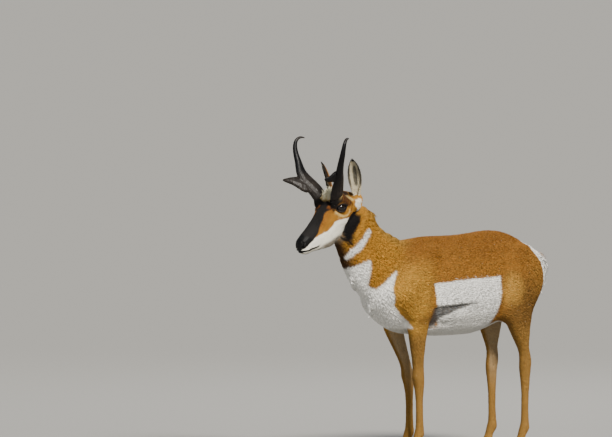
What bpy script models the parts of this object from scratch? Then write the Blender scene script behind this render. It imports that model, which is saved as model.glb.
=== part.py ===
"""A pronghorn buck, life size, standing and looking ahead, as a still museum model.

The buck faces -X with its left flank at -Y, +Z is up, and the floor is at z = 0. The flesh is
modelled whole from lofts, fused, and parted into torso, neck, head, tail, legs and ears by thin
cuts. Horns, eyes and hooves are solids of their own.
"""

import math
import random

import bmesh
import bpy
import numpy as np
from mathutils import Matrix, Vector
from mathutils.bvhtree import BVHTree

SHOULDER_HEIGHT = 0.88    # floor to withers
GAP = 0.0003              # kept between pieces that touch
HEAD_TURN = math.radians(9)      # head turned to its left of the body's line
HEAD_PITCH = math.radians(37)    # muzzle below the level
EYE_LINE = Vector((-0.4115, -0.010, SHOULDER_HEIGHT + 0.108))    # midway between the eyes

CORE_VOXEL = 0.012        # fusing of the big muscle masses
SKIN_VOXEL = 0.0055       # fusing of legs, head and body
SKIN_TRIANGLES = 7400
HEAD_KEEP = 0.14          # round the eye line the skin keeps more of its triangles
FORE_STEP = -0.030        # far foreleg's foot, forward of the near one
HIND_STEP = 0.055         # far hind foot, forward of the near one
NECK_CUT = ((-0.140, 0, 0.760), (-0.707, 0, 0.707))
HEAD_CUT = ((-0.262, 0, 0.985), (-0.725, 0, 0.689))

# Lofts of the body: x, y, z of the section's centre, half width, reach up, reach down,
# lean of the section's up direction from +Z towards +X in degrees, narrowing at top and bottom.
TRUNK = [
    (-0.232, 0, 0.655, 0.040, 0.045, 0.045, 0, 0.1, 0.1),
    (-0.200, 0, 0.655, 0.086, 0.122, 0.088, 0, 0.2, 0.2),
    (-0.145, 0, 0.670, 0.106, 0.170, 0.150, 0, 0.3, 0.3),
    (-0.085, 0, 0.680, 0.117, 0.184, 0.187, 0, 0.4, 0.4),
    (0.000, 0, 0.680, 0.124, 0.195, 0.197, 0, 0.4, 0.4),
    (0.060, 0, 0.680, 0.130, 0.200, 0.203, 0, 0.4, 0.35),
    (0.130, 0, 0.680, 0.137, 0.199, 0.206, 0, 0.3, 0.25),
    (0.210, 0, 0.680, 0.141, 0.200, 0.205, 0, 0.3, 0.15),
    (0.290, 0, 0.685, 0.139, 0.202, 0.206, 0, 0.3, 0.1),
    (0.370, 0, 0.695, 0.133, 0.200, 0.192, 0, 0.3, 0.1),
    (0.440, 0, 0.705, 0.128, 0.184, 0.172, 0, 0.3, 0.1),
    (0.510, 0, 0.715, 0.118, 0.150, 0.150, 0, 0.3, 0.1),
    (0.565, 0, 0.722, 0.102, 0.107, 0.125, 0, 0.3, 0.1),
    (0.606, 0, 0.725, 0.076, 0.072, 0.092, 0, 0.2, 0.1),
    (0.634, 0, 0.725, 0.038, 0.036, 0.045, 0, 0.1, 0.1),
]
NECK = [
    (-0.100, 0, 0.705, 0.100, 0.150, 0.150, 30, 0.3, 0.2),
    (-0.182, 0, 0.768, 0.088, 0.139, 0.142, 40, 0.35, 0.2),
    (-0.243, 0, 0.833, 0.074, 0.114, 0.130, 44, 0.35, 0.15),
    (-0.298, -0.003, 0.903, 0.066, 0.106, 0.106, 46, 0.25, 0.15),
    (-0.336, -0.006, 0.955, 0.064, 0.078, 0.092, 48, 0.15, 0.1),
]
SHOULDER = [
    (0.030, -0.060, 0.840, 0.030, 0.045, 0.035, 90, 0.1, 0.1),
    (0.000, -0.084, 0.780, 0.040, 0.075, 0.060, 90, 0.1, 0.1),
    (-0.040, -0.094, 0.710, 0.046, 0.090, 0.090, 90, 0.1, 0.1),
    (-0.070, -0.094, 0.640, 0.048, 0.095, 0.100, 90, 0.1, 0.1),
    (-0.055, -0.090, 0.585, 0.044, 0.080, 0.076, 90, 0.1, 0.1),
    (-0.040, -0.086, 0.540, 0.038, 0.055, 0.052, 90, 0.1, 0.1),
]
THIGH = [
    (0.470, -0.062, 0.835, 0.040, 0.070, 0.085, 90, 0.1, 0.1),
    (0.475, -0.078, 0.775, 0.058, 0.110, 0.115, 90, 0.1, 0.1),
    (0.468, -0.084, 0.705, 0.064, 0.136, 0.115, 90, 0.1, 0.1),
    (0.458, -0.088, 0.640, 0.060, 0.122, 0.105, 90, 0.1, 0.1),
    (0.452, -0.090, 0.575, 0.050, 0.088, 0.078, 90, 0.1, 0.1),
    (0.462, -0.087, 0.515, 0.040, 0.060, 0.056, 90, 0.1, 0.1),
]
FORELEG = [
    (-0.040, -0.086, 0.600, 0.040, 0.056, 0.056, 90, 0, 0),
    (-0.038, -0.082, 0.535, 0.037, 0.050, 0.050, 90, 0, 0),
    (-0.034, -0.074, 0.485, 0.032, 0.042, 0.042, 90, 0, 0),
    (-0.027, -0.066, 0.440, 0.027, 0.034, 0.035, 90, 0, 0),
    (-0.020, -0.059, 0.395, 0.023, 0.027, 0.028, 90, 0, 0),
    (-0.014, -0.054, 0.355, 0.022, 0.024, 0.025, 90, 0, 0),
    (-0.012, -0.052, 0.322, 0.024, 0.025, 0.028, 90, 0, 0),
    (-0.008, -0.051, 0.285, 0.020, 0.022, 0.021, 90, 0, 0),
    (-0.006, -0.050, 0.240, 0.0155, 0.0175, 0.0165, 90, 0, 0),
    (-0.005, -0.050, 0.180, 0.0145, 0.0165, 0.0155, 90, 0, 0),
    (-0.005, -0.050, 0.125, 0.0165, 0.0185, 0.0165, 90, 0, 0),
    (-0.008, -0.050, 0.098, 0.0205, 0.0235, 0.0205, 90, 0, 0),
    (-0.022, -0.050, 0.070, 0.0185, 0.0195, 0.0185, 78, 0, 0),
    (-0.034, -0.050, 0.046, 0.0225, 0.0235, 0.0235, 80, 0, 0),
    (-0.040, -0.050, 0.026, 0.0225, 0.0240, 0.0245, 85, 0, 0),
]
HINDLEG = [
    (0.462, -0.088, 0.570, 0.048, 0.072, 0.072, 90, 0, 0),
    (0.470, -0.087, 0.515, 0.041, 0.056, 0.055, 90, 0, 0),
    (0.485, -0.083, 0.465, 0.032, 0.041, 0.040, 90, 0, 0),
    (0.499, -0.079, 0.425, 0.024, 0.028, 0.028, 90, 0, 0),
    (0.509, -0.076, 0.395, 0.021, 0.029, 0.025, 90, 0, 0),
    (0.513, -0.074, 0.365, 0.0225, 0.031, 0.025, 90, 0, 0),
    (0.515, -0.072, 0.335, 0.0225, 0.026, 0.025, 90, 0, 0),
    (0.517, -0.071, 0.295, 0.0185, 0.0215, 0.0215, 90, 0, 0),
    (0.518, -0.070, 0.240, 0.0150, 0.0175, 0.0175, 90, 0, 0),
    (0.518, -0.069, 0.180, 0.0145, 0.0165, 0.0165, 90, 0, 0),
    (0.518, -0.068, 0.128, 0.0165, 0.0185, 0.0175, 90, 0, 0),
    (0.515, -0.068, 0.100, 0.0205, 0.0235, 0.0210, 90, 0, 0),
    (0.501, -0.068, 0.071, 0.0185, 0.0195, 0.0185, 78, 0, 0),
    (0.489, -0.068, 0.046, 0.0225, 0.0235, 0.0235, 80, 0, 0),
    (0.483, -0.068, 0.026, 0.0225, 0.0240, 0.0245, 85, 0, 0),
]
TAIL = [
    (0.560, 0, 0.790, 0.026, 0.024, 0.024, 20, 0, 0),
    (0.612, 0, 0.788, 0.026, 0.020, 0.020, 35, 0, 0),
    (0.648, 0, 0.768, 0.026, 0.016, 0.016, 60, 0, 0),
    (0.664, 0, 0.735, 0.025, 0.014, 0.014, 80, 0, 0),
    (0.670, 0, 0.705, 0.020, 0.011, 0.011, 85, 0, 0),
    (0.672, 0, 0.684, 0.008, 0.005, 0.005, 88, 0, 0),
]
# The head's own frame: the muzzle runs along -X from the eye line, +Z is up off the nose.
HEAD = [
    (0.110, 0, 0, 0.044, 0.004, 0.060, 0, 0.1, 0.1),
    (0.085, 0, 0, 0.059, 0.032, 0.088, 0, 0.0, 0.2),
    (0.055, 0, 0, 0.063, 0.047, 0.104, 0, 0.0, 0.3),
    (0.020, 0, 0, 0.064, 0.050, 0.114, 0, -0.1, 0.45),
    (-0.015, 0, 0, 0.062, 0.046, 0.118, 0, -0.1, 0.5),
    (-0.050, 0, 0, 0.050, 0.040, 0.115, 0, 0.0, 0.45),
    (-0.087, 0, 0, 0.041, 0.036, 0.111, 0, 0.2, 0.45),
    (-0.122, 0, 0, 0.036, 0.034, 0.094, 0, 0.3, 0.4),
    (-0.155, 0, 0, 0.032, 0.0325, 0.0755, 0, 0.3, 0.35),
    (-0.186, 0, 0, 0.030, 0.031, 0.058, 0, 0.2, 0.3),
    (-0.210, 0, -0.002, 0.029, 0.029, 0.047, 0, 0.1, 0.2),
    (-0.226, 0, -0.006, 0.025, 0.024, 0.033, 0, 0.1, 0.1),
    (-0.236, 0, -0.010, 0.0150, 0.014, 0.018, 0, 0, 0),
]
# Horn stations: offset from the base's centre forward, outward and up, half length fore and
# aft, half width across. The far horn leans out more below its prong.
BEAM = [
    (0.000, 0.000, 0.000, 0.0325, 0.0200),
    (0.008, 0.011, 0.022, 0.0315, 0.0185),
    (0.019, 0.026, 0.050, 0.0280, 0.0160),
    (0.031, 0.042, 0.075, 0.0235, 0.0140),
    (0.040, 0.053, 0.097, 0.0185, 0.0128),
    (0.047, 0.066, 0.130, 0.0138, 0.0115),
    (0.050, 0.077, 0.160, 0.0118, 0.0102),
    (0.050, 0.083, 0.185, 0.0098, 0.0086),
    (0.046, 0.085, 0.207, 0.0080, 0.0072),
    (0.036, 0.083, 0.222, 0.0064, 0.0060),
    (0.021, 0.078, 0.228, 0.0046, 0.0045),
    (0.007, 0.071, 0.225, 0.0022, 0.0022),
]
RIGHT_BEAM = [
    (0.000, 0.000, 0.000, 0.0325, 0.0200),
    (0.009, 0.013, 0.022, 0.0325, 0.0188),
    (0.024, 0.031, 0.048, 0.0310, 0.0168),
    (0.038, 0.046, 0.072, 0.0275, 0.0150),
    (0.045, 0.058, 0.097, 0.0220, 0.0135),
    (0.048, 0.067, 0.130, 0.0155, 0.0120),
] + BEAM[6:]
# Prong stations, with how far the blade leans outward for its height.
LEFT_PRONG = [
    (0.024, 0.034, 0.080, 0.0300, 0.0115),
    (0.049, 0.036, 0.079, 0.0240, 0.0105),
    (0.066, 0.037, 0.0745, 0.0170, 0.0090),
    (0.087, 0.038, 0.0700, 0.0105, 0.0070),
    (0.103, 0.038, 0.0710, 0.0052, 0.0042),
    (0.110, 0.038, 0.0720, 0.0022, 0.0020),
]
RIGHT_PRONG = [
    (0.016, 0.022, 0.040, 0.0240, 0.0100),
    (0.034, 0.031, 0.044, 0.0360, 0.0112),
    (0.048, 0.037, 0.047, 0.0370, 0.0115),
    (0.066, 0.048, 0.054, 0.0290, 0.0110),
    (0.085, 0.063, 0.060, 0.0190, 0.0095),
    (0.101, 0.076, 0.062, 0.0115, 0.0075),
    (0.111, 0.085, 0.063, 0.0058, 0.0045),
    (0.115, 0.089, 0.0635, 0.0022, 0.0020),
]
PRONG_LEAN = (0.25, 0.65)             # near and far
HORN_BASE = (0.016, 0.045, 0.056)     # in the head's frame: back, to the side, up
HORN_START = (0.50, 0.12, 0.86)       # lean of the horn's base: forward, outward, up
EAR_ROOT = (0.093, 0.066, 0.004)
EAR_REACH = (-0.040, 0.0127, 0.142)   # root to tip in the body's frame: back, outward, up
FAR_EAR_RISE = 0.127                  # the far ear is tipped a little lower
EYE_CENTRE = (0.004, 0.0475, 0.011)
EYE_RADIUS = 0.0225
LID_RADIUS = 0.0262
HOOF_TOP = 0.036


def spline_rows(rows, steps):
    """Rows of numbers filled in between by a Catmull-Rom curve."""
    table = np.array(rows, float)
    padded = np.vstack([2 * table[0] - table[1], table, 2 * table[-1] - table[-2]])
    out = []
    for i in range(1, len(padded) - 2):
        a, b, c, d = padded[i - 1:i + 3]
        for t in np.arange(steps) / steps:
            out.append(0.5 * (2 * b + (c - a) * t + (2 * a - 5 * b + 4 * c - d) * t * t
                              + (3 * b - 3 * c + d - a) * t ** 3))
    return out + [padded[-2]]


def loft(name, rows, steps=3, sides=20, roundness=2.2):
    """A closed tube through the sections of a table like those above."""
    bm = bmesh.new()
    rings = []
    for x, y, z, width, up, down, lean, top, bottom in spline_rows(rows, steps):
        rise = Vector((math.sin(math.radians(lean)), 0, math.cos(math.radians(lean))))
        ring = []
        for k in range(sides):
            s, c = math.sin(2 * math.pi * k / sides), math.cos(2 * math.pi * k / sides)
            across = math.copysign(abs(s) ** (2 / roundness), s) * width
            along = math.copysign(abs(c) ** (2 / roundness), c)
            across *= 1 - (top if c > 0 else bottom) * c * c
            reach = along * (up if c > 0 else down)
            ring.append(bm.verts.new(Vector((x, y + across, z)) + rise * reach))
        rings.append(ring)
    for first, second in zip(rings, rings[1:]):
        for k in range(sides):
            n = (k + 1) % sides
            bm.faces.new((first[k], first[n], second[n], second[k]))
    bm.faces.new(rings[0][::-1])
    bm.faces.new(rings[-1])
    bmesh.ops.recalc_face_normals(bm, faces=bm.faces)
    return mesh_object(name, bm)


def mesh_object(name, bm):
    mesh = bpy.data.meshes.new(name)
    bm.to_mesh(mesh)
    bm.free()
    obj = bpy.data.objects.new(name, mesh)
    bpy.context.scene.collection.objects.link(obj)
    return obj


def head_frame():
    """Places the head's own frame in the body's."""
    turn = Matrix.Rotation(HEAD_TURN, 4, "Z") @ Matrix.Rotation(-HEAD_PITCH, 4, "Y")
    return Matrix.Translation(EYE_LINE) @ turn


def moved_rows(rows, side, forward=0.0, top=0.56):
    """A left leg's rows for one side, stepped forward from its top down to the foot."""
    out = []
    for row in rows:
        share = min(max((top - row[2]) / 0.25, 0), 1)
        share = share * share * (3 - 2 * share)
        out.append((row[0] - forward * share, row[1] * side, *row[2:]))
    return out


def evaluated_mesh(obj):
    """The object's modifiers made real."""
    graph = bpy.context.evaluated_depsgraph_get()
    mesh = bpy.data.meshes.new_from_object(obj.evaluated_get(graph))
    obj.modifiers.clear()
    obj.data = mesh
    return obj


def fused(name, pieces, voxel, smooth):
    """One closed skin round overlapping pieces, its junctions smoothed."""
    bm = bmesh.new()
    for piece in pieces:
        part = piece.data.copy()
        part.transform(piece.matrix_world)
        bm.from_mesh(part)
        bpy.data.objects.remove(piece)
    obj = mesh_object(name, bm)
    remesh = obj.modifiers.new("fuse", "REMESH")
    remesh.mode = "VOXEL"
    remesh.voxel_size = voxel
    relax = obj.modifiers.new("relax", "SMOOTH")
    relax.factor = 0.5
    relax.iterations = smooth
    return evaluated_mesh(obj)


def whole_body():
    masses = [loft("trunk", TRUNK), loft("neck_mass", NECK)]
    for side in (1, -1):
        masses.append(loft("shoulder_mass", moved_rows(SHOULDER, side)))
        masses.append(loft("thigh_mass", moved_rows(THIGH, side)))
    core = fused("core", masses, CORE_VOXEL, 10)
    pieces = [core, loft("tail_form", TAIL)]
    for side, fore, hind in ((1, 0.0, 0.0), (-1, FORE_STEP, HIND_STEP)):
        pieces.append(loft("foreleg_form", moved_rows(FORELEG, side, fore)))
        pieces.append(loft("hindleg_form", moved_rows(HINDLEG, side, hind)))
    head_pieces = [loft("head_form", HEAD)]
    for side in (1, -1):
        brow = ball("brow", 0.030, 20, 12)
        place = Matrix.Translation((EYE_CENTRE[0] + 0.004, -side * 0.044, EYE_CENTRE[2] + 0.006))
        brow.matrix_world = place @ Matrix.Diagonal((1.15, 0.95, 1.0, 1))
        head_pieces.append(brow)
        post = ball("horn_boss", 0.034, 20, 12)
        place = Matrix.Translation((HORN_BASE[0] + 0.004, -side * (HORN_BASE[1] - 0.003), HORN_BASE[2] - 0.031))
        post.matrix_world = place @ Matrix.Diagonal((1.15, 0.80, 1.0, 1))
        head_pieces.append(post)
    for piece in head_pieces:
        piece.matrix_world = head_frame() @ piece.matrix_world
    for side in (1, -1):
        root, axis, opening, reach = ear_place(side)
        boss = ball("ear_boss", 0.0225, 20, 12)
        boss.matrix_world = Matrix.Translation(root - axis * 0.017)
        hump = ball("ear_hump", 0.038, 20, 12)
        inward = head_frame() @ Vector((EAR_ROOT[0] - 0.012, -side * (EAR_ROOT[1] - 0.026), EAR_ROOT[2] - 0.026))
        hump.matrix_world = Matrix.Translation(inward)
        head_pieces += [boss, hump]
    bpy.context.view_layer.update()
    body = fused("body", pieces + head_pieces, SKIN_VOXEL, 5)
    reduce(body, SKIN_TRIANGLES, EYE_LINE, HEAD_KEEP)
    return body


def ball(name, radius, segments, rings):
    bm = bmesh.new()
    bmesh.ops.create_uvsphere(bm, u_segments=segments, v_segments=rings, radius=radius)
    return mesh_object(name, bm)


def reduce(obj, triangles, focus, keep):
    """Fewer triangles, with more of them kept near the focus."""
    for ratio in (0.5, 0.23):
        first = obj.modifiers.new("first", "DECIMATE")
        first.ratio = ratio
        evaluated_mesh(obj)
    group = obj.vertex_groups.new(name="plain")
    for vertex in obj.data.vertices:
        distance = (vertex.co - focus).length
        group.add([vertex.index], min(max((distance - keep) / 0.06, 0.0), 1.0), "REPLACE")
    fewer = obj.modifiers.new("fewer", "DECIMATE")
    obj.data.calc_loop_triangles()
    fewer.ratio = triangles / len(obj.data.loop_triangles)
    fewer.vertex_group = "plain"
    fewer.vertex_group_factor = 1.0
    evaluated_mesh(obj)
    obj.vertex_groups.clear()


def trimmed(name, source, planes, grow=0.0):
    """The part of a closed mesh behind every plane of (point, outward normal)."""
    bm = bmesh.new()
    bm.from_mesh(source.data)
    for point, normal in planes:
        normal = Vector(normal).normalized()
        geometry = list(bm.verts) + list(bm.edges) + list(bm.faces)
        cut = bmesh.ops.bisect_plane(bm, geom=geometry, plane_co=Vector(point) + normal * grow,
                                     plane_no=normal, clear_outer=True, dist=1e-6)
        edges = [e for e in cut["geom_cut"] if isinstance(e, bmesh.types.BMEdge)]
        if edges:
            filled = bmesh.ops.triangle_fill(bm, edges=edges, use_beauty=True)
    bmesh.ops.triangulate(bm, faces=bm.faces)
    bmesh.ops.recalc_face_normals(bm, faces=bm.faces)
    return mesh_object(name, bm)


def box_object(name, low, high):
    bm = bmesh.new()
    bmesh.ops.create_cube(bm, size=1)
    low, high = Vector(low), Vector(high)
    size = high - low
    bmesh.ops.transform(bm, matrix=Matrix.Translation((low + high) / 2)
                        @ Matrix.Diagonal((size.x, size.y, size.z, 1)), verts=bm.verts)
    return mesh_object(name, bm)


def combine(target, tools, operation, solver="EXACT", keep_tools=False):
    """One Boolean with a collection of closed solids, made real."""
    folder = bpy.data.collections.new("tools")
    bpy.context.scene.collection.children.link(folder)
    for tool in tools:
        folder.objects.link(tool)
    change = target.modifiers.new("change", "BOOLEAN")
    change.operation = operation
    change.operand_type = "COLLECTION"
    change.collection = folder
    change.solver = solver
    bpy.context.view_layer.update()
    evaluated_mesh(target)
    if not keep_tools:
        for tool in tools:
            bpy.data.objects.remove(tool)
    bpy.data.collections.remove(folder)
    return keep_largest(target)


def keep_largest(obj):
    """Drops all but the largest closed surface, welds close points and makes triangles."""
    bm = bmesh.new()
    bm.from_mesh(obj.data)
    bmesh.ops.remove_doubles(bm, verts=bm.verts, dist=2e-5)
    loose = [v for v in bm.verts if not v.link_faces]
    bmesh.ops.delete(bm, geom=loose, context="VERTS")
    bmesh.ops.triangulate(bm, faces=bm.faces)
    bm.verts.ensure_lookup_table()
    seen = set()
    groups = []
    for start in bm.verts:
        if start.index in seen:
            continue
        stack, group = [start], []
        seen.add(start.index)
        while stack:
            vert = stack.pop()
            group.append(vert)
            for edge in vert.link_edges:
                other = edge.other_vert(vert)
                if other.index not in seen:
                    seen.add(other.index)
                    stack.append(other)
        groups.append(group)
    groups.sort(key=len)
    scraps = [v for group in groups[:-1] for v in group]
    bmesh.ops.delete(bm, geom=scraps, context="VERTS")
    bmesh.ops.recalc_face_normals(bm, faces=bm.faces)
    bm.to_mesh(obj.data)
    bm.free()
    return obj


def copied(obj, name):
    twin = bpy.data.objects.new(name, obj.data.copy())
    twin.matrix_world = obj.matrix_world
    bpy.context.scene.collection.objects.link(twin)
    return twin


def leg_planes(side, front, rear, step, inner, outer):
    """The wedge that takes a leg: its top slopes up outwards, and it ends above the hoof."""
    x0, x1 = front - step, rear - step
    rise = outer[1] - inner[1]
    run = outer[0] - inner[0]
    middle = (0, -side * (inner[0] + outer[0]) / 2, (inner[1] + outer[1]) / 2)
    return [
        (middle, (0, side * rise, run)),
        ((x0, 0, 0), (-1, 0, 0)),
        ((x1, 0, 0), (1, 0, 0)),
        ((0, -side * inner[0], 0), (0, side, 0)),
    ]


def part_off(body, name, planes):
    """Takes the piece behind the planes off the body, leaving a thin gap."""
    piece = trimmed(name, body, planes, -GAP / 2)
    cutter = trimmed("cutter", box_object("room", (-2, -2, -2), (2, 2, 3)), planes, GAP / 2)
    bpy.data.objects.remove(bpy.data.objects["room"])
    combine(body, [cutter], "DIFFERENCE")
    return keep_largest(piece)


def halves(body, name, point, normal):
    """Takes what lies beyond one plane off the body."""
    piece = trimmed(name, body, [(point, (-Vector(normal)))], -GAP / 2)
    rest = trimmed(body.name + "_rest", body, [(point, normal)], -GAP / 2)
    label = body.name
    bpy.data.objects.remove(body)
    rest.name = label
    return keep_largest(rest), keep_largest(piece)


def horn(name, side, prong):
    frame = head_frame()
    base = frame @ Vector((HORN_BASE[0], -side * HORN_BASE[1], HORN_BASE[2]))
    forward = (frame.to_3x3() @ Vector((-1, 0, 0)))
    forward = Vector((forward.x, forward.y, 0)).normalized()
    outward = Vector((-forward.y, forward.x, 0)) * side
    stations, lean = (BEAM, PRONG_LEAN[0]) if side > 0 else (RIGHT_BEAM, PRONG_LEAN[1])
    beam = horn_loft(name, base, forward, outward, stations, HORN_START, 14)
    spur = horn_loft("spur", base, forward, outward, prong, (1, 0.15, 0), 10, lean)
    combine(beam, [spur], "UNION")
    return beam


def horn_loft(name, base, forward, outward, stations, start, sides, lean=0.0):
    """A tapering oval tube whose long axis is kept fore and aft, or upright on a spur."""
    rows = spline_rows(stations, 2)
    centres = [base + forward * r[0] + outward * r[1] + Vector((0, 0, 1)) * r[2] for r in rows]
    along = Vector((0, 0, 1)) + outward * lean if start[2] == 0 else forward
    bm = bmesh.new()
    rings = []
    for i, (row, centre) in enumerate(zip(rows, centres)):
        ahead = centres[min(i + 1, len(rows) - 1)] - centres[max(i - 1, 0)]
        if i == 0:
            ahead = forward * start[0] + outward * start[1] + Vector((0, 0, 1)) * start[2]
        ahead.normalize()
        along = (along - ahead * along.dot(ahead)).normalized()
        across = ahead.cross(along).normalized()
        ring = []
        for k in range(sides):
            angle = 2 * math.pi * k / sides
            ring.append(bm.verts.new(centre + along * math.cos(angle) * row[3]
                                     + across * math.sin(angle) * row[4]))
        rings.append(ring)
    for first, second in zip(rings, rings[1:]):
        for k in range(sides):
            n = (k + 1) % sides
            bm.faces.new((first[k], first[n], second[n], second[k]))
    bm.faces.new(rings[0][::-1])
    bm.faces.new(rings[-1])
    bmesh.ops.triangulate(bm, faces=bm.faces)
    bmesh.ops.recalc_face_normals(bm, faces=bm.faces)
    return mesh_object(name, bm)


def ear_place(side):
    """The ear's root, axis, direction of its opening and reach to the tip."""
    frame = head_frame()
    root = frame @ Vector((EAR_ROOT[0], -side * EAR_ROOT[1], EAR_ROOT[2]))
    forward = frame.to_3x3() @ Vector((-1, 0, 0))
    forward = Vector((forward.x, forward.y, 0)).normalized()
    outward = Vector((-forward.y, forward.x, 0)) * side
    rise = EAR_REACH[2] if side > 0 else FAR_EAR_RISE
    reach = -forward * EAR_REACH[0] + outward * EAR_REACH[1] + Vector((0, 0, 1)) * rise
    opening = (forward * 0.80 + outward * 0.60).normalized()
    axis = reach.normalized()
    across = axis.cross(opening).normalized()
    opening = across.cross(axis).normalized()
    return root, axis, opening, reach


def ear(name, side):
    """A cupped leaf, its opening to the front and side, standing on a flat root."""
    root, axis, opening, reach = ear_place(side)
    across = axis.cross(opening).normalized()
    stations = 10
    count = 8
    bm = bmesh.new()
    rings = []
    for i in range(stations + 1):
        t = i / stations
        width = 0.0150 + 0.0125 * math.sin(math.pi * min(t / 0.55, 1) / 2) ** 1.2
        if t > 0.42:
            width *= max(1 - ((t - 0.42) / 0.585) ** 2.1, 0.0) ** 0.72
        width = max(width, 0.0016)
        wrap = math.radians(150 - 62 * min(t / 0.5, 1) ** 0.8)
        wall = 0.0028 + 0.0032 * max(1 - t / 0.3, 0)
        wall = min(wall, width * 0.55)
        bend = (-0.010 if side > 0 else 0.003) * math.sin(math.pi * t) + 0.004 * t
        centre = root + reach * t + opening * bend
        ring = []
        for layer in (0, 1):
            radius = width if layer == 0 else width - wall
            depth = (0.62 if t > 0.1 else 0.75) * radius
            sweep = [(-1 + 2 * k / (count - 1)) * wrap for k in range(count)]
            if layer:
                sweep = [0.96 * a for a in reversed(sweep)]
            for a in sweep:
                ring.append(bm.verts.new(centre + across * math.sin(a) * radius
                                         - opening * math.cos(a) * depth))
        rings.append(ring)
    sides = len(rings[0])
    for first, second in zip(rings, rings[1:]):
        for k in range(sides):
            n = (k + 1) % sides
            bm.faces.new((first[k], first[n], second[n], second[k]))
    for ring in (rings[0], rings[-1]):
        for k in range(count - 1):
            bm.faces.new((ring[k], ring[k + 1], ring[sides - 2 - k], ring[sides - 1 - k]))
    bmesh.ops.triangulate(bm, faces=bm.faces)
    bmesh.ops.recalc_face_normals(bm, faces=bm.faces)
    return mesh_object(name, bm), root, axis


def stub(name, centre, axis, along, across, length, guide):
    """A short oval post with a flat end at the centre, running back from it."""
    axis = axis.normalized()
    side = axis.cross(guide).normalized()
    front = side.cross(axis).normalized()
    bm = bmesh.new()
    rings = []
    for t in (0, 1):
        ring = []
        for k in range(16):
            angle = 2 * math.pi * k / 16
            scale = 1 + 0.25 * t
            ring.append(bm.verts.new(centre - axis * length * t
                                     + front * math.cos(angle) * along * scale
                                     + side * math.sin(angle) * across * scale))
        rings.append(ring)
    for k in range(16):
        n = (k + 1) % 16
        bm.faces.new((rings[0][k], rings[0][n], rings[1][n], rings[1][k]))
    bm.faces.new(rings[0][::-1])
    bm.faces.new(rings[1])
    bmesh.ops.triangulate(bm, faces=bm.faces)
    bmesh.ops.recalc_face_normals(bm, faces=bm.faces)
    return mesh_object(name, bm)


def eye_place(side):
    """The eye's frame: +X looks out of the opening, +Y runs towards the muzzle."""
    frame = head_frame()
    centre = frame @ Vector((EYE_CENTRE[0], -side * EYE_CENTRE[1], EYE_CENTRE[2]))
    turn = frame.to_3x3()
    look = (turn @ Vector((-0.34, -side * 0.92, 0.16))).normalized()
    muzzle = turn @ Vector((-1, 0, 0.60))
    muzzle = (muzzle - look * muzzle.dot(look)).normalized()
    up = look.cross(muzzle) * (1 if side < 0 else 1)
    if up.z < 0:
        up = -up
    place = Matrix((look, muzzle, up)).transposed().to_4x4()
    place.translation = centre
    return place


def almond(name, side):
    """The lids' opening: a lens-shaped prism along the eye's look, wider to the front corner."""
    place = eye_place(side)
    outline = []
    for k in range(20):
        angle = 2 * math.pi * k / 20
        along = math.cos(angle) * 0.0222
        height = abs(math.sin(angle)) ** 1.15 * (0.0142 if math.sin(angle) > 0 else 0.0118)
        height = math.copysign(height, math.sin(angle))
        outline.append((along, height - 0.12 * along * 0.3))
    bm = bmesh.new()
    rings = [[bm.verts.new(place @ Vector((x, a, b))) for a, b in outline] for x in (0.004, 0.05)]
    for k in range(20):
        n = (k + 1) % 20
        bm.faces.new((rings[0][k], rings[0][n], rings[1][n], rings[1][k]))
    bm.faces.new(rings[0][::-1])
    bm.faces.new(rings[1])
    bmesh.ops.triangulate(bm, faces=bm.faces)
    bmesh.ops.recalc_face_normals(bm, faces=bm.faces)
    return mesh_object(name, bm)


def eyeball(name, side, radius, segments=18, rings=10):
    obj = ball(name, radius, segments, rings)
    place = eye_place(side) @ Matrix.Rotation(math.pi / 2, 4, "Y")
    obj.data.transform(place)
    if place.determinant() < 0:
        obj.data.flip_normals()
    return obj


def mouth_cut():
    """A thin curved slit round the muzzle from corner to corner."""
    line = [(-0.135, 0.052, -0.052), (-0.160, 0.050, -0.0475), (-0.185, 0.047, -0.041),
            (-0.205, 0.044, -0.0345), (-0.222, 0.038, -0.0300), (-0.240, 0.022, -0.028)]
    line = [tuple(r) for r in spline_rows(line, 2)]
    path = [(x, y, z) for x, y, z in line] + [(x, -y, z) for x, y, z in reversed(line)]
    inner = []
    for x, y, z in path:
        inner.append((max(x + 0.014, -0.216) if abs(y) < 0.040 else x,
                      math.copysign(max(abs(y) - 0.0275, 0.004), y), z))
    frame = head_frame()
    half = 0.0009
    bm = bmesh.new()
    rings = []
    for outer, core in zip(path, inner):
        ring = []
        for (x, y, z), lift in ((outer, half), (core, half * 0.5), (core, -half * 0.5), (outer, -half)):
            ring.append(bm.verts.new(frame @ Vector((x, y, z + lift))))
        rings.append(ring)
    for first, second in zip(rings, rings[1:]):
        for k in range(4):
            n = (k + 1) % 4
            bm.faces.new((first[k], first[n], second[n], second[k]))
    bm.faces.new(rings[0][::-1])
    bm.faces.new(rings[-1])
    bmesh.ops.triangulate(bm, faces=bm.faces)
    bmesh.ops.recalc_face_normals(bm, faces=bm.faces)
    return mesh_object("mouth", bm)


def nostril(side):
    obj = ball("nostril", 1, 16, 10)
    place = (head_frame() @ Matrix.Translation((-0.229, -side * 0.0185, -0.003))
             @ Matrix.Rotation(side * 0.55, 4, "Z") @ Matrix.Rotation(-0.45, 4, "Y")
             @ Matrix.Diagonal((0.0110, 0.0065, 0.0050, 1)))
    obj.data.transform(place)
    return obj


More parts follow.
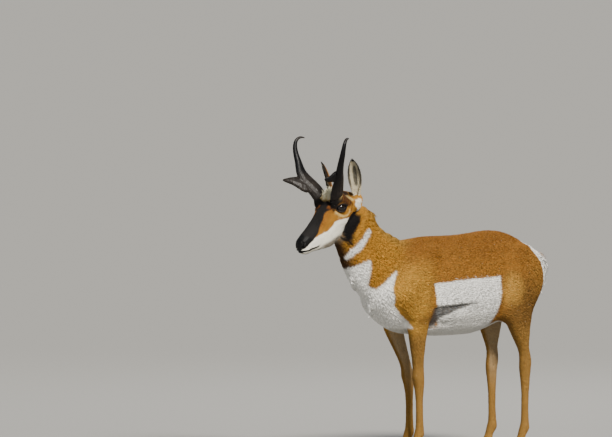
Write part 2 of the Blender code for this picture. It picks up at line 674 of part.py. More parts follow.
def claw(name, centre, side, inner):
    """One half of a hoof on a flat sole, its top face level."""
    x, y = centre
    bm = bmesh.new()
    rings = []
    for height, toe, heel, width in ((0.0, 0.0420, 0.0270, 0.0235), (0.004, 0.0425, 0.0272, 0.0238),
                                     (0.016, 0.0360, 0.0262, 0.0228), (0.028, 0.0285, 0.0250, 0.0218),
                                     (HOOF_TOP, 0.0235, 0.0235, 0.0208)):
        ring = []
        for k in range(12):
            angle = 2 * math.pi * k / 12
            c, s = math.cos(angle), math.sin(angle)
            reach = toe if c > 0 else heel
            point = abs(c) ** 1.1
            across = 0.5 + 0.5 * s
            if c > 0:
                across = across * (1 - 0.30 * point) if inner else across * (1 - 0.30 * point)
            ring.append(bm.verts.new(Vector((
                x - math.copysign(abs(c) ** 0.85, c) * reach,
                y + side * (0.0012 + width * across), height))))
        rings.append(ring)
    for first, second in zip(rings, rings[1:]):
        for k in range(12):
            n = (k + 1) % 12
            bm.faces.new((first[k], first[n], second[n], second[k]))
    bm.faces.new(rings[0][::-1])
    bm.faces.new(rings[-1])
    bmesh.ops.triangulate(bm, faces=bm.faces)
    bmesh.ops.recalc_face_normals(bm, faces=bm.faces)
    return mesh_object(name, bm)


def lock(root, normal, lie, length, width, thick, lift):
    """A flat tapered lock: its root is sunk, it follows the lie and its tip lifts off."""
    across = lie.cross(normal).normalized()
    bm = bmesh.new()
    rings = []
    for t, wide, rise in ((0.0, 0.75, -0.006), (0.35, 1.0, lift * 0.45), (0.75, 0.66, lift * 0.9)):
        centre = root + lie * (length * t) + normal * rise
        ring = [centre + across * (width * wide / 2), centre + normal * (thick / 2),
                centre - across * (width * wide / 2), centre - normal * (thick / 2)]
        rings.append([bm.verts.new(c) for c in ring])
    tip = bm.verts.new(root + lie * length + normal * lift)
    for first, second in zip(rings, rings[1:]):
        for k in range(4):
            n = (k + 1) % 4
            bm.faces.new((first[k], first[n], second[n], second[k]))
    for k in range(4):
        bm.faces.new((rings[-1][k], rings[-1][(k + 1) % 4], tip))
    bm.faces.new(rings[0][::-1])
    bmesh.ops.triangulate(bm, faces=bm.faces)
    bmesh.ops.recalc_face_normals(bm, faces=bm.faces)
    return mesh_object("lock", bm)


def locks_on(obj, rays, lie, length, width, thick, lift, seed):
    """Locks rooted where rays of (from, direction) meet the piece, fused with it."""
    bm = bmesh.new()
    bm.from_mesh(obj.data)
    tree = BVHTree.FromBMesh(bm)
    bm.free()
    spread = random.Random(seed)
    made = []
    for start, direction in rays:
        place, normal, _, _ = tree.ray_cast(Vector(start), Vector(direction).normalized())
        if place is None:
            continue
        flow = lie(place) if callable(lie) else Vector(lie)
        flow = (flow - normal * flow.dot(normal)).normalized()
        turn = Matrix.Rotation(spread.uniform(-0.16, 0.16), 3, normal)
        size = spread.uniform(0.9, 1.1)
        made.append(lock(place, normal, turn @ flow, length * size, width * size, thick, lift * size))
    combine(obj, made, "UNION")


def add_locks(torso, neck, head):
    """Nape mane, white rump patch, brisket fringe and the pale tuft between the horns."""
    mane = [((-0.237 + 0.0145 * i, 0.009 if i % 2 else -0.009, 1.2), (0, 0, -1)) for i in range(11)]
    locks_on(neck, mane, (0.85, 0, -0.5), 0.046, 0.027, 0.0065, 0.0038, 3)
    rump = []
    for row, height in enumerate((0.775, 0.742, 0.709, 0.676, 0.643)):
        count = 4 if row % 2 else 3
        for k in range(count):
            y = (k - (count - 1) / 2) * 0.044
            if abs(y) < 0.03 and height > 0.70:
                continue
            rump.append(((0.9, y, height), (-1, 0, 0)))
    locks_on(torso, rump, lambda p: Vector((0.1, p.y * 4.5, -0.55)), 0.052, 0.036, 0.0075, 0.0042, 5)
    fringe = [((-0.9, 0.012 if i % 2 else -0.012, 0.735 - 0.028 * i), (1, 0, 0)) for i in range(6)]
    throat = [r for r in fringe if r[0][2] > 0.68]
    brisket = [r for r in fringe if r[0][2] <= 0.63]
    locks_on(torso, brisket, (0.35, 0, -1), 0.044, 0.025, 0.007, 0.0055, 7)
    locks_on(neck, throat, (0.35, 0, -1), 0.044, 0.025, 0.007, 0.0055, 8)
    frame = head_frame()
    poll = []
    for x, y in ((0.022, 0.0), (0.034, 0.011), (0.034, -0.011), (0.048, 0.0)):
        poll.append((frame @ Vector((x, y, 0.2)), frame.to_3x3() @ Vector((0, 0, -1))))
    locks_on(head, poll, (0.6, 0, 0.8), 0.030, 0.018, 0.007, 0.005, 9)


def paint(obj, name, colour, roughness):
    material = bpy.data.materials.get(name) or bpy.data.materials.new(name)
    material.use_nodes = True
    shader = material.node_tree.nodes["Principled BSDF"]
    shader.inputs["Base Color"].default_value = (*colour, 1)
    shader.inputs["Roughness"].default_value = roughness
    material.diffuse_color = (*colour, 1)
    obj.data.materials.clear()
    obj.data.materials.append(material)
    for face in obj.data.polygons:
        face.material_index = 0


def main():
    for obj in list(bpy.data.objects):
        bpy.data.objects.remove(obj)
    body = whole_body()

    legs = {}
    for side, word, fore, hind in ((1, "left", 0.0, 0.0), (-1, "right", FORE_STEP, HIND_STEP)):
        planes = leg_planes(side, -0.105, 0.035, fore * 0.2, (0.020, 0.470), (0.130, 0.590))
        legs["foreleg_" + word] = part_off(body, "foreleg_" + word, planes)
        planes = leg_planes(side, 0.375, 0.570, hind * 0.2, (0.015, 0.475), (0.130, 0.585))
        legs["hindleg_" + word] = part_off(body, "hindleg_" + word, planes)
    tail = part_off(body, "tail", [((0.640, 0, 0.790), (-0.85, 0, -0.52)), ((0, 0.05, 0), (0, 1, 0)),
                                   ((0, -0.05, 0), (0, -1, 0))])
    body, front = halves(body, "neck", NECK_CUT[0], NECK_CUT[1])
    body.name = "torso"
    neck, head = halves(front, "head", HEAD_CUT[0], HEAD_CUT[1])
    neck.name = "neck"

    hooves = []
    for name, leg in legs.items():
        low = trimmed(name, leg, [((0, 0, HOOF_TOP + GAP), (0, 0, -1))])
        bpy.data.objects.remove(leg)
        low.name = name
        keep_largest(low)
        ring = [v.co for v in low.data.vertices if v.co.z < HOOF_TOP + 2 * GAP]
        x = sum(c.x for c in ring) / len(ring)
        y = sum(c.y for c in ring) / len(ring)
        legs[name] = low
        for direction, word in ((1, "a"), (-1, "b")):
            hooves.append(claw("hoof_" + name + "_" + word, (x, y), direction, True))

    horns = []
    ears = []
    eyes = []
    add = []
    cut = []
    for side, word, prong in ((1, "left", LEFT_PRONG), (-1, "right", RIGHT_PRONG)):
        frame = head_frame()
        item = horn("horn_" + word, side, prong)
        base = frame @ Vector((HORN_BASE[0], -side * HORN_BASE[1], HORN_BASE[2]))
        forward = frame.to_3x3() @ Vector((-1, 0, 0))
        forward = Vector((forward.x, forward.y, 0)).normalized()
        outward = Vector((-forward.y, forward.x, 0)) * side
        rise = forward * HORN_START[0] + outward * HORN_START[1] + Vector((0, 0, 1)) * HORN_START[2]
        rise.normalize()
        add.append(stub("pedicle", base + rise * 0.003, rise, 0.0335, 0.0210, 0.043, forward))
        cut.append(stub("pedicle_room", base + rise * 0.040, rise, 0.0420, 0.0420, 0.040 + GAP, forward))
        horns.append(item)
        leaf, root, axis = ear("ear_" + word, side)
        add.append(stub("ear_root", root + axis * 0.003, axis, 0.0150, 0.0170, 0.027, forward))
        cut.append(stub("ear_room", root + axis * 0.040, axis, 0.0270, 0.0270, 0.040 + GAP, forward))
        ears.append(leaf)
        add.append(eyeball("lids", side, LID_RADIUS))
        cut.append(eyeball("socket", side, EYE_RADIUS + GAP))
        cut.append(almond("opening", side))
        cut.append(nostril(side))
        eyes.append(eyeball("eye_" + word, side, EYE_RADIUS))
    cut.append(mouth_cut())
    combine(head, add, "UNION")
    combine(head, cut, "DIFFERENCE")
    add_locks(body, neck, head)

    fur = (0.46, 0.235, 0.085)
    for obj in [body, neck, head, tail, *legs.values(), *ears]:
        paint(obj, "coat", fur, 0.85)
    for obj in horns + hooves:
        paint(obj, "horn", (0.030, 0.024, 0.020), 0.45)
    for obj in eyes:
        paint(obj, "eye", (0.012, 0.008, 0.006), 0.08)

    solids = [o for o in bpy.data.objects if o.type == "MESH"]
    points = np.vstack([np.array([o.matrix_world @ v.co for v in o.data.vertices]) for o in solids])
    low, high = points.min(axis=0), points.max(axis=0)
    shift = Matrix.Translation((-(low[0] + high[0]) / 2, -(low[1] + high[1]) / 2, -low[2]))
    for obj in solids:
        obj.data.transform(shift)


main()
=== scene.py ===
import math

import bmesh
import bpy
import numpy as np
from mathutils import Matrix, Vector
from mathutils.bvhtree import BVHTree


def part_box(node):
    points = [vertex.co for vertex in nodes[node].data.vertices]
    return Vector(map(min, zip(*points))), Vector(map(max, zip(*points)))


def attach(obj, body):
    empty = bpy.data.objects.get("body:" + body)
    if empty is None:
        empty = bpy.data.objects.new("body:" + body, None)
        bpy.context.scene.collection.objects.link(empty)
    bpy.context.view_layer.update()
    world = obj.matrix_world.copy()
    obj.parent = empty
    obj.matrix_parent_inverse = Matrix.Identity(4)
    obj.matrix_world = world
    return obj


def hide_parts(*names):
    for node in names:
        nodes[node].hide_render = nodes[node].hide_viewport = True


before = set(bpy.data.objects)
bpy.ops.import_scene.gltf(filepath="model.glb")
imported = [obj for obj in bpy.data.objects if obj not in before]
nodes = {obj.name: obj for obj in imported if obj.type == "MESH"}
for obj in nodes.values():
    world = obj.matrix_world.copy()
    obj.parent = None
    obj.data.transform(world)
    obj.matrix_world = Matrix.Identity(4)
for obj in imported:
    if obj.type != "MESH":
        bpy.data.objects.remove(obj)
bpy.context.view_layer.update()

# The markings and the lie of the coat are worked out in the body's own measure: x runs back
# from the foreleg and z is up from the floor. The head has its own measure, whose x runs
# back from the eyes and whose z is up off the nose, and so has the neck.
pose = {
    "eyeAt": (-0.40745, -0.05745, 0.99919),    # left eye, in the body's measure
    "headTurn": math.radians(9),
    "headPitch": math.radians(37),
    "eyeLine": (-0.4115, -0.010, 0.988),
    "neckStart": (-0.140, 0.0, 0.760),
    "headStart": ((-0.262, 0.0, 0.985), (-0.725, 0.0, 0.689)),
}


def centreOf(node):
    low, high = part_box(node)
    return (Vector(low) + Vector(high)) / 2


shift = centreOf("eye_left") - Vector(pose["eyeAt"])
headPlace = (Matrix.Translation(Vector(pose["eyeLine"]) + shift)
             @ Matrix.Rotation(pose["headTurn"], 4, "Z") @ Matrix.Rotation(-pose["headPitch"], 4, "Y"))
headInverse = np.array(headPlace.inverted())


def setCamera():
    look = {"azimuth": -38.0, "elevation": 2.5, "distance": 25.0, "pixelsPerMetre": 255.0,
            "aim": (-0.32737, 0.25935, 0.94464), "sensor": 36, "pixels": 612, "near": 0.5, "far": 600}
    data = bpy.data.cameras.new("camera")
    camera = bpy.data.objects.new("camera", data)
    bpy.context.scene.collection.objects.link(camera)
    a = math.radians(look["azimuth"])
    e = math.radians(look["elevation"])
    back = Vector((math.sin(a) * math.cos(e), -math.cos(a) * math.cos(e), math.sin(e)))
    camera.location = Vector(look["aim"]) + shift + back * look["distance"]
    camera.rotation_euler = back.to_track_quat("Z", "Y").to_euler()
    data.sensor_width = look["sensor"]
    data.lens = look["pixelsPerMetre"] * look["distance"] * look["sensor"] / look["pixels"]
    data.clip_start = look["near"]
    data.clip_end = look["far"]
    bpy.context.scene.camera = camera


setCamera()
print("camera set")


class Wire:
    # one socket of a material, with sums written as plain expressions
    def __init__(self, tree, socket):
        self.tree = tree
        self.socket = socket

    def node(self, kind, settings=None, **inputs):
        made = self.tree.nodes.new(kind)
        for key, value in (settings or {}).items():
            setattr(made, key, value)
        for key, value in inputs.items():
            socket = made.inputs[int(key[1:]) if key[1:].isdigit() else key]
            if isinstance(value, Wire):
                self.tree.links.new(value.socket, socket)
            elif value is not None:
                socket.default_value = value
        return made

    def out(self, made, name=0):
        return Wire(self.tree, made.outputs[name])

    def sum(self, operation, first, second=None):
        return self.out(self.node("ShaderNodeMath", {"operation": operation}, n0=first, n1=second))

    def __add__(self, other):
        return self.sum("ADD", self, other)

    __radd__ = __add__

    def __rsub__(self, other):
        return self.sum("SUBTRACT", other, self)

    def __mul__(self, other):
        return self.sum("MULTIPLY", self, other)

    __rmul__ = __mul__

    def tint(self, first, second):
        # this socket is the factor, 0 gives the first colour
        made = self.node("ShaderNodeMix", {"data_type": "RGBA"}, n0=self, n6=(*first, 1), n7=(*second, 1))
        return self.out(made, 2)

    def attribute(self, name, output="Color"):
        return self.out(self.node("ShaderNodeAttribute", {"attribute_name": name}), output)

    def mapped(self, scale):
        return self.out(self.node("ShaderNodeMapping", Vector=self, Scale=scale))

    def noise(self, scale, detail):
        made = self.node("ShaderNodeTexNoise", Vector=self, Scale=scale, Detail=detail, Roughness=0.55)
        return self.out(made, "Fac")

    def bump(self, strength, distance):
        made = self.node("ShaderNodeBump", Height=self, Strength=strength, Distance=distance)
        return self.out(made, "Normal")


def newMaterial(name, roughness=0.6, shine=0.5, coat=0.0):
    # gives the material, its shader and the wire of Object coordinates
    material = bpy.data.materials.new(name)
    material.use_nodes = True
    tree = material.node_tree
    shader = tree.nodes["Principled BSDF"]
    shader.inputs["Roughness"].default_value = roughness
    shader.inputs["Specular IOR Level"].default_value = shine
    shader.inputs["Coat Weight"].default_value = coat
    start = Wire(tree, None)
    place = start.out(start.node("ShaderNodeTexCoord"), "Object")
    return material, shader, place


def feed(shader, name, wire):
    wire.tree.links.new(wire.socket, shader.inputs[name])


def scaled(tone, amount):
    return tone.out(tone.node("ShaderNodeVectorMath", {"operation": "SCALE"}, n0=tone, Scale=amount))


def smoothStep(low, high, value):
    t = np.clip((value - low) / (high - low), 0, 1)
    return t * t * (3 - 2 * t)


def blendTone(first, second, amount):
    amount = np.asarray(amount, float)[:, None]
    return np.asarray(first) * (1 - amount) + np.asarray(second) * amount


def ripple(points, size, seed):
    # soft seeded noise from -1 to 1, made of a few slanted waves
    draw = np.random.default_rng(seed)
    total = np.zeros(len(points))
    for octave in range(3):
        for count in range(4):
            way = draw.normal(size=3)
            way /= np.linalg.norm(way)
            total += np.sin(points @ way * (2 ** octave) * 2 * math.pi / size
                            + draw.uniform(0, 2 * math.pi)) / 2 ** octave
    return total / 3.2


def insideBy(u, v, corners):
    # distance inside a polygon's edge, negative outside it
    corners = np.asarray(corners, float)
    nearest = np.full(len(u), 1e9)
    inside = np.zeros(len(u), bool)
    for first, second in zip(corners, np.roll(corners, -1, axis=0)):
        ax, ay = first
        bx, by = second
        dx, dy = bx - ax, by - ay
        t = np.clip(((u - ax) * dx + (v - ay) * dy) / (dx * dx + dy * dy), 0, 1)
        nearest = np.minimum(nearest, np.hypot(u - ax - t * dx, v - ay - t * dy))
        crosses = ((ay > v) != (by > v)) & (u < dx * (v - ay) / (dy if abs(dy) > 1e-12 else 1e-12) + ax)
        inside ^= crosses
    return np.where(inside, nearest, -nearest)


def along(table, at):
    # reads a table of (place, value) at each place
    table = sorted(table)
    return np.interp(at, [row[0] for row in table], [row[1] for row in table])


arcOf = {"head": 0.045, "neck": 0.085}    # metres of arc for a radian round each


def onArc(marks, part="head"):
    # an outline's (place, degrees), with the degrees as metres of arc
    return [(place, math.radians(turn) * arcOf[part]) for place, turn in marks]


class Spots:
    # points with the body's, the neck's and the head's measures of them
    def __init__(self, points, normals=None, regions=None):
        self.points, self.normals, self.regions = points, normals, regions
        self.body = points - np.array(shift)
        self.head = points @ headInverse[:3, :3].T + headInverse[:3, 3]
        self.x, self.y, self.z = self.body.T
        self.hx, self.hy, self.hz = self.head.T
        self.side, self.mid = np.abs(self.y), np.abs(self.hy)
        # metres up the neck, and degrees round it from the throat
        offset = self.body - np.array(pose["neckStart"])
        self.up = (offset[:, 2] - offset[:, 0]) * math.sqrt(0.5)
        rear = (offset[:, 2] + offset[:, 0]) * math.sqrt(0.5)
        self.turn = np.degrees(np.arctan2(self.side, -rear))
        # the turn up from the side of the face, and the height over the mouth
        turn = np.arctan2(self.hz - along(headMarks["middle"], self.hx), self.mid)
        self.angle, self.arc = np.degrees(turn), turn * arcOf["head"]
        self.mouth = self.hz - along(headMarks["mouthRise"], self.hx)
        point, normal = (np.array(v) for v in pose["headStart"])
        self.headward = (self.body - point) @ normal
        if normals is not None:
            self.rise, self.inward = normals[:, 2], -normals[:, 1] * np.sign(self.y)

    def on(self, *names):
        return np.isin(self.regions, [regionOf[name] for name in names])

    def ripple(self, size, seed):
        return ripple(self.points, size, seed)

    def fade(self, name, wave=0.0, **more):
        # a fade's strength times its soft edges
        strength, *edges = fades[name]
        share = 1.0
        for measure, low, high, *swing in edges:
            value = more[measure] if measure in more else getattr(self, measure)
            share = share * smoothStep(low, high, value + wave * swing[0] if swing else value)
        return share * strength


def noseDistance(at):
    # how far inside the bare black pad a point is: the top of the nose, and down its front to the lip
    pad = insideBy(at.hx, at.arc, onArc(headMarks["nosePad"]))
    front = np.minimum(noseFront["half"] - at.mid, noseFront["rear"] - at.hx)
    return np.maximum(pad, np.minimum(front, at.mouth))


def foldDistance(at):
    # how far inside the fold between flank and belly a point is
    return np.minimum(along(bodyMarks["foldTop"], at.x) - at.z, at.z - along(bodyMarks["foldLow"], at.x))


eyeShape = {"centre": (0.004, 0.0475, 0.011), "look": (-0.34, 0.92, 0.16), "muzzle": (-1, 0, 0.60),
            "half": 0.0222, "rise": 0.0142, "drop": 0.0118, "tilt": 0.036, "corner": 1.15, "lid": 0.0262}


def eyePlace(side):
    # an eye's own frame: x looks out, y runs to the muzzle and z up the lid; the left side is 1
    turn = headPlace.to_3x3()
    back, out, rise = eyeShape["centre"]
    centre = headPlace @ Vector((back, -side * out, rise))
    front, out, rise = eyeShape["look"]
    look = (turn @ Vector((front, -side * out, rise))).normalized()
    muzzle = turn @ Vector(eyeShape["muzzle"])
    muzzle = (muzzle - look * muzzle.dot(look)).normalized()
    up = look.cross(muzzle)
    if up.z < 0:
        up = -up
    place = Matrix((look, muzzle, up)).transposed().to_4x4()
    place.translation = centre
    return place


def lidDistance(points):
    # how far outside the lids' opening a point is, measured across the eye's look
    nearest = np.full(len(points), 1.0)
    for side in (1, -1):
        inward = np.array(eyePlace(side).inverted())
        spot = points @ inward[:3, :3].T + inward[:3, 3]
        a, b = spot[:, 1], spot[:, 2] + eyeShape["tilt"] * spot[:, 1]
        tall = np.where(b > 0, eyeShape["rise"], eyeShape["drop"])
        size = np.hypot(a / eyeShape["half"], b / tall)
        gap = np.where(size > 1e-6, (size - 1) * np.hypot(a, b) / np.maximum(size, 1e-6), -0.01)
        nearest = np.minimum(nearest, np.where(spot[:, 0] > -0.004, gap, 1.0))
    return nearest


# colours of the coat, linear
coatTones = {
    "back": (0.205, 0.084, 0.012), "side": (0.285, 0.125, 0.019), "shoulder": (0.460, 0.245, 0.038),
    "thigh": (0.185, 0.092, 0.020), "rump": (0.300, 0.145, 0.026), "neck": (0.410, 0.195, 0.023),
    "nape": (0.300, 0.165, 0.030), "throat": (0.060, 0.027, 0.008), "white": (0.840, 0.830, 0.790),
    "belly": (0.620, 0.610, 0.570), "leg": (0.235, 0.124, 0.027), "legInner": (0.420, 0.320, 0.190),
    "cheek": (0.320, 0.145, 0.018), "cheekWhite": (0.830, 0.800, 0.690), "black": (0.006, 0.005, 0.005),
    "mask": (0.011, 0.010, 0.0095), "brow": (0.190, 0.062, 0.010), "poll": (0.900, 0.830, 0.600),
    "earBack": (0.260, 0.120, 0.030), "earInner": (0.560, 0.500, 0.350), "earSlit": (0.022, 0.021, 0.018),
    "nose": (0.003, 0.003, 0.003), "chin": (0.780, 0.740, 0.620), "jaw": (0.130, 0.100, 0.065),
    "cream": (0.600, 0.440, 0.170), "browDark": (0.045, 0.015, 0.004), "armShade": (0.120, 0.056, 0.014),
    "hip": (0.450, 0.245, 0.048), "foldShadowTone": (0.060, 0.058, 0.056), "chinShade": (0.030, 0.027, 0.024),
}

# edges of the markings, from the left side and mirrored: x and z of the body in metres
bodyMarks = {
    "flankTop": [(0.000, 0.692), (0.108, 0.701), (0.231, 0.709), (0.342, 0.713), (0.380, 0.712)],
    "flankRear": [(0.713, 0.342), (0.678, 0.346), (0.638, 0.350), (0.606, 0.352), (0.582, 0.348),
                  (0.540, 0.338)],
    "flankFront": [(0.700, 0.004), (0.693, 0.007), (0.645, 0.024), (0.605, 0.036), (0.560, 0.056),
                   (0.527, 0.073)],
    "foldTop": [(0.026, 0.601), (0.043, 0.604), (0.086, 0.607), (0.153, 0.613), (0.222, 0.615),
                (0.288, 0.611)],
    "foldLow": [(0.026, 0.500), (0.062, 0.526), (0.068, 0.551), (0.089, 0.565), (0.139, 0.582),
                (0.201, 0.602), (0.288, 0.606)],
    "chestEdge": [(0.763, -0.128), (0.743, -0.148), (0.701, -0.165), (0.670, -0.172), (0.639, -0.166),
                  (0.615, -0.164), (0.574, -0.125), (0.546, -0.090), (0.526, -0.076), (0.500, -0.066)],
    "rumpEdge": [(0.860, 0.520), (0.806, 0.525), (0.761, 0.558), (0.710, 0.565), (0.660, 0.568),
                 (0.620, 0.580), (0.600, 0.640)],
}

# the neck's bands: metres up the neck and degrees round from the throat
neckBands = {
    "upper": [(0.184, 108), (0.179, 84), (0.172, 52), (0.170, 25), (0.172, 10), (0.177, 8), (0.184, 14),
              (0.195, 25), (0.195, 46), (0.197, 75), (0.200, 98), (0.194, 108)],
    "lower": [(0.126, -10), (0.135, 2), (0.136, 9), (0.128, 23), (0.118, 36), (0.112, 44), (0.103, 45),
              (0.084, 38), (0.059, 27), (0.038, 16), (0.015, 5), (0.005, -10)],
    "chest": [(-0.030, 96), (-0.001, 79), (0.005, 61), (0.003, 41), (0.004, 26), (0.025, 20),
              (0.045, 18), (0.060, 14), (0.060, -10), (-0.300, -10), (-0.300, 96)],
}

# the head's markings: metres back of the eye line, and degrees up from the side (90 is the
# top of the nose, -90 under the jaw)
headMarks = {
    "middle": [(-0.236, -0.010), (-0.200, -0.012), (-0.100, -0.030), (0.000, -0.022), (0.100, -0.020)],
    "maskEdge": [(0.020, 60), (-0.012, 54), (-0.019, 52), (-0.024, 49), (-0.037, 57), (-0.048, 66),
                 (-0.063, 67), (-0.079, 63), (-0.105, 56), (-0.126, 47), (-0.143, 33), (-0.164, 25),
                 (-0.179, 17), (-0.205, 11), (-0.217, 9)],
    "whiteTop": [(0.036, -30), (0.021, -26), (0.000, -14), (-0.013, -7), (-0.034, 6), (-0.052, 13),
                 (-0.066, 7), (-0.089, 7), (-0.106, 12), (-0.137, 20), (-0.164, 24), (-0.190, 19),
                 (-0.215, 16)],
    "whiteRear": [(-25, 0.014), (-33, -0.001), (-49, -0.016), (-59, -0.033), (-72, -0.048), (-83, -0.057)],
    "patch": [(0.019, -23), (0.043, -22), (0.072, -38), (0.054, -41), (0.022, -48), (-0.010, -58),
              (-0.032, -68), (-0.044, -70), (-0.032, -58), (-0.013, -39), (0.013, -30)],
    "browBlack": [(-0.032, 56), (-0.027, 48), (-0.018, 41), (-0.006, 43), (0.003, 48), (0.008, 56),
                  (0.012, 75), (-0.016, 86), (-0.024, 70)],
    "browRed": [(-0.002, 49), (0.014, 60), (0.040, 66), (0.080, 62), (0.068, 30), (0.050, 10), (0.034, 14),
                (0.016, 38)],
    "underEar": [(0.070, 17), (0.082, 16), (0.093, 8), (0.088, -8), (0.076, -40), (0.064, -38), (0.058, 3)],
    "nosePad": [(-0.186, 95), (-0.190, 74), (-0.181, 43), (-0.180, 26), (-0.196, 18), (-0.216, 12),
                (-0.229, 20), (-0.250, -5), (-0.260, 95)],
    "mouthRise": [(-0.250, -0.013), (-0.236, -0.014), (-0.229, -0.0185), (-0.213, -0.0275),
                  (-0.189, -0.037), (-0.162, -0.050), (-0.135, -0.055)],
    "browCream": [(-0.008, 52), (-0.003, 48), (0.010, 47), (0.030, 49), (0.052, 56), (0.028, 57),
                  (0.008, 54)],
    "underEye": [(-0.030, 43), (-0.022, 29), (-0.010, 8), (0.004, -2), (0.020, -6), (0.036, 4), (0.030, -8),
                 (0.010, -12), (-0.012, -2), (-0.028, 20), (-0.036, 36)],
    "crease": [(0.056, 14), (0.055, 11), (0.053, 7), (0.050, 3), (0.047, -1), (0.043, -5), (0.038, -9),
               (0.032, -13), (0.026, -16), (0.019, -18), (0.012, -18), (0.005, -16)],
    "eyeCorner": [(0.012, 36), (0.024, 30), (0.038, 20), (0.026, 18), (0.012, 18)],
    "earStreak": [(0.052, 44), (0.064, 46), (0.070, 18), (0.062, 16)],
}
noseFront = {"half": 0.0105, "rear": -0.222}

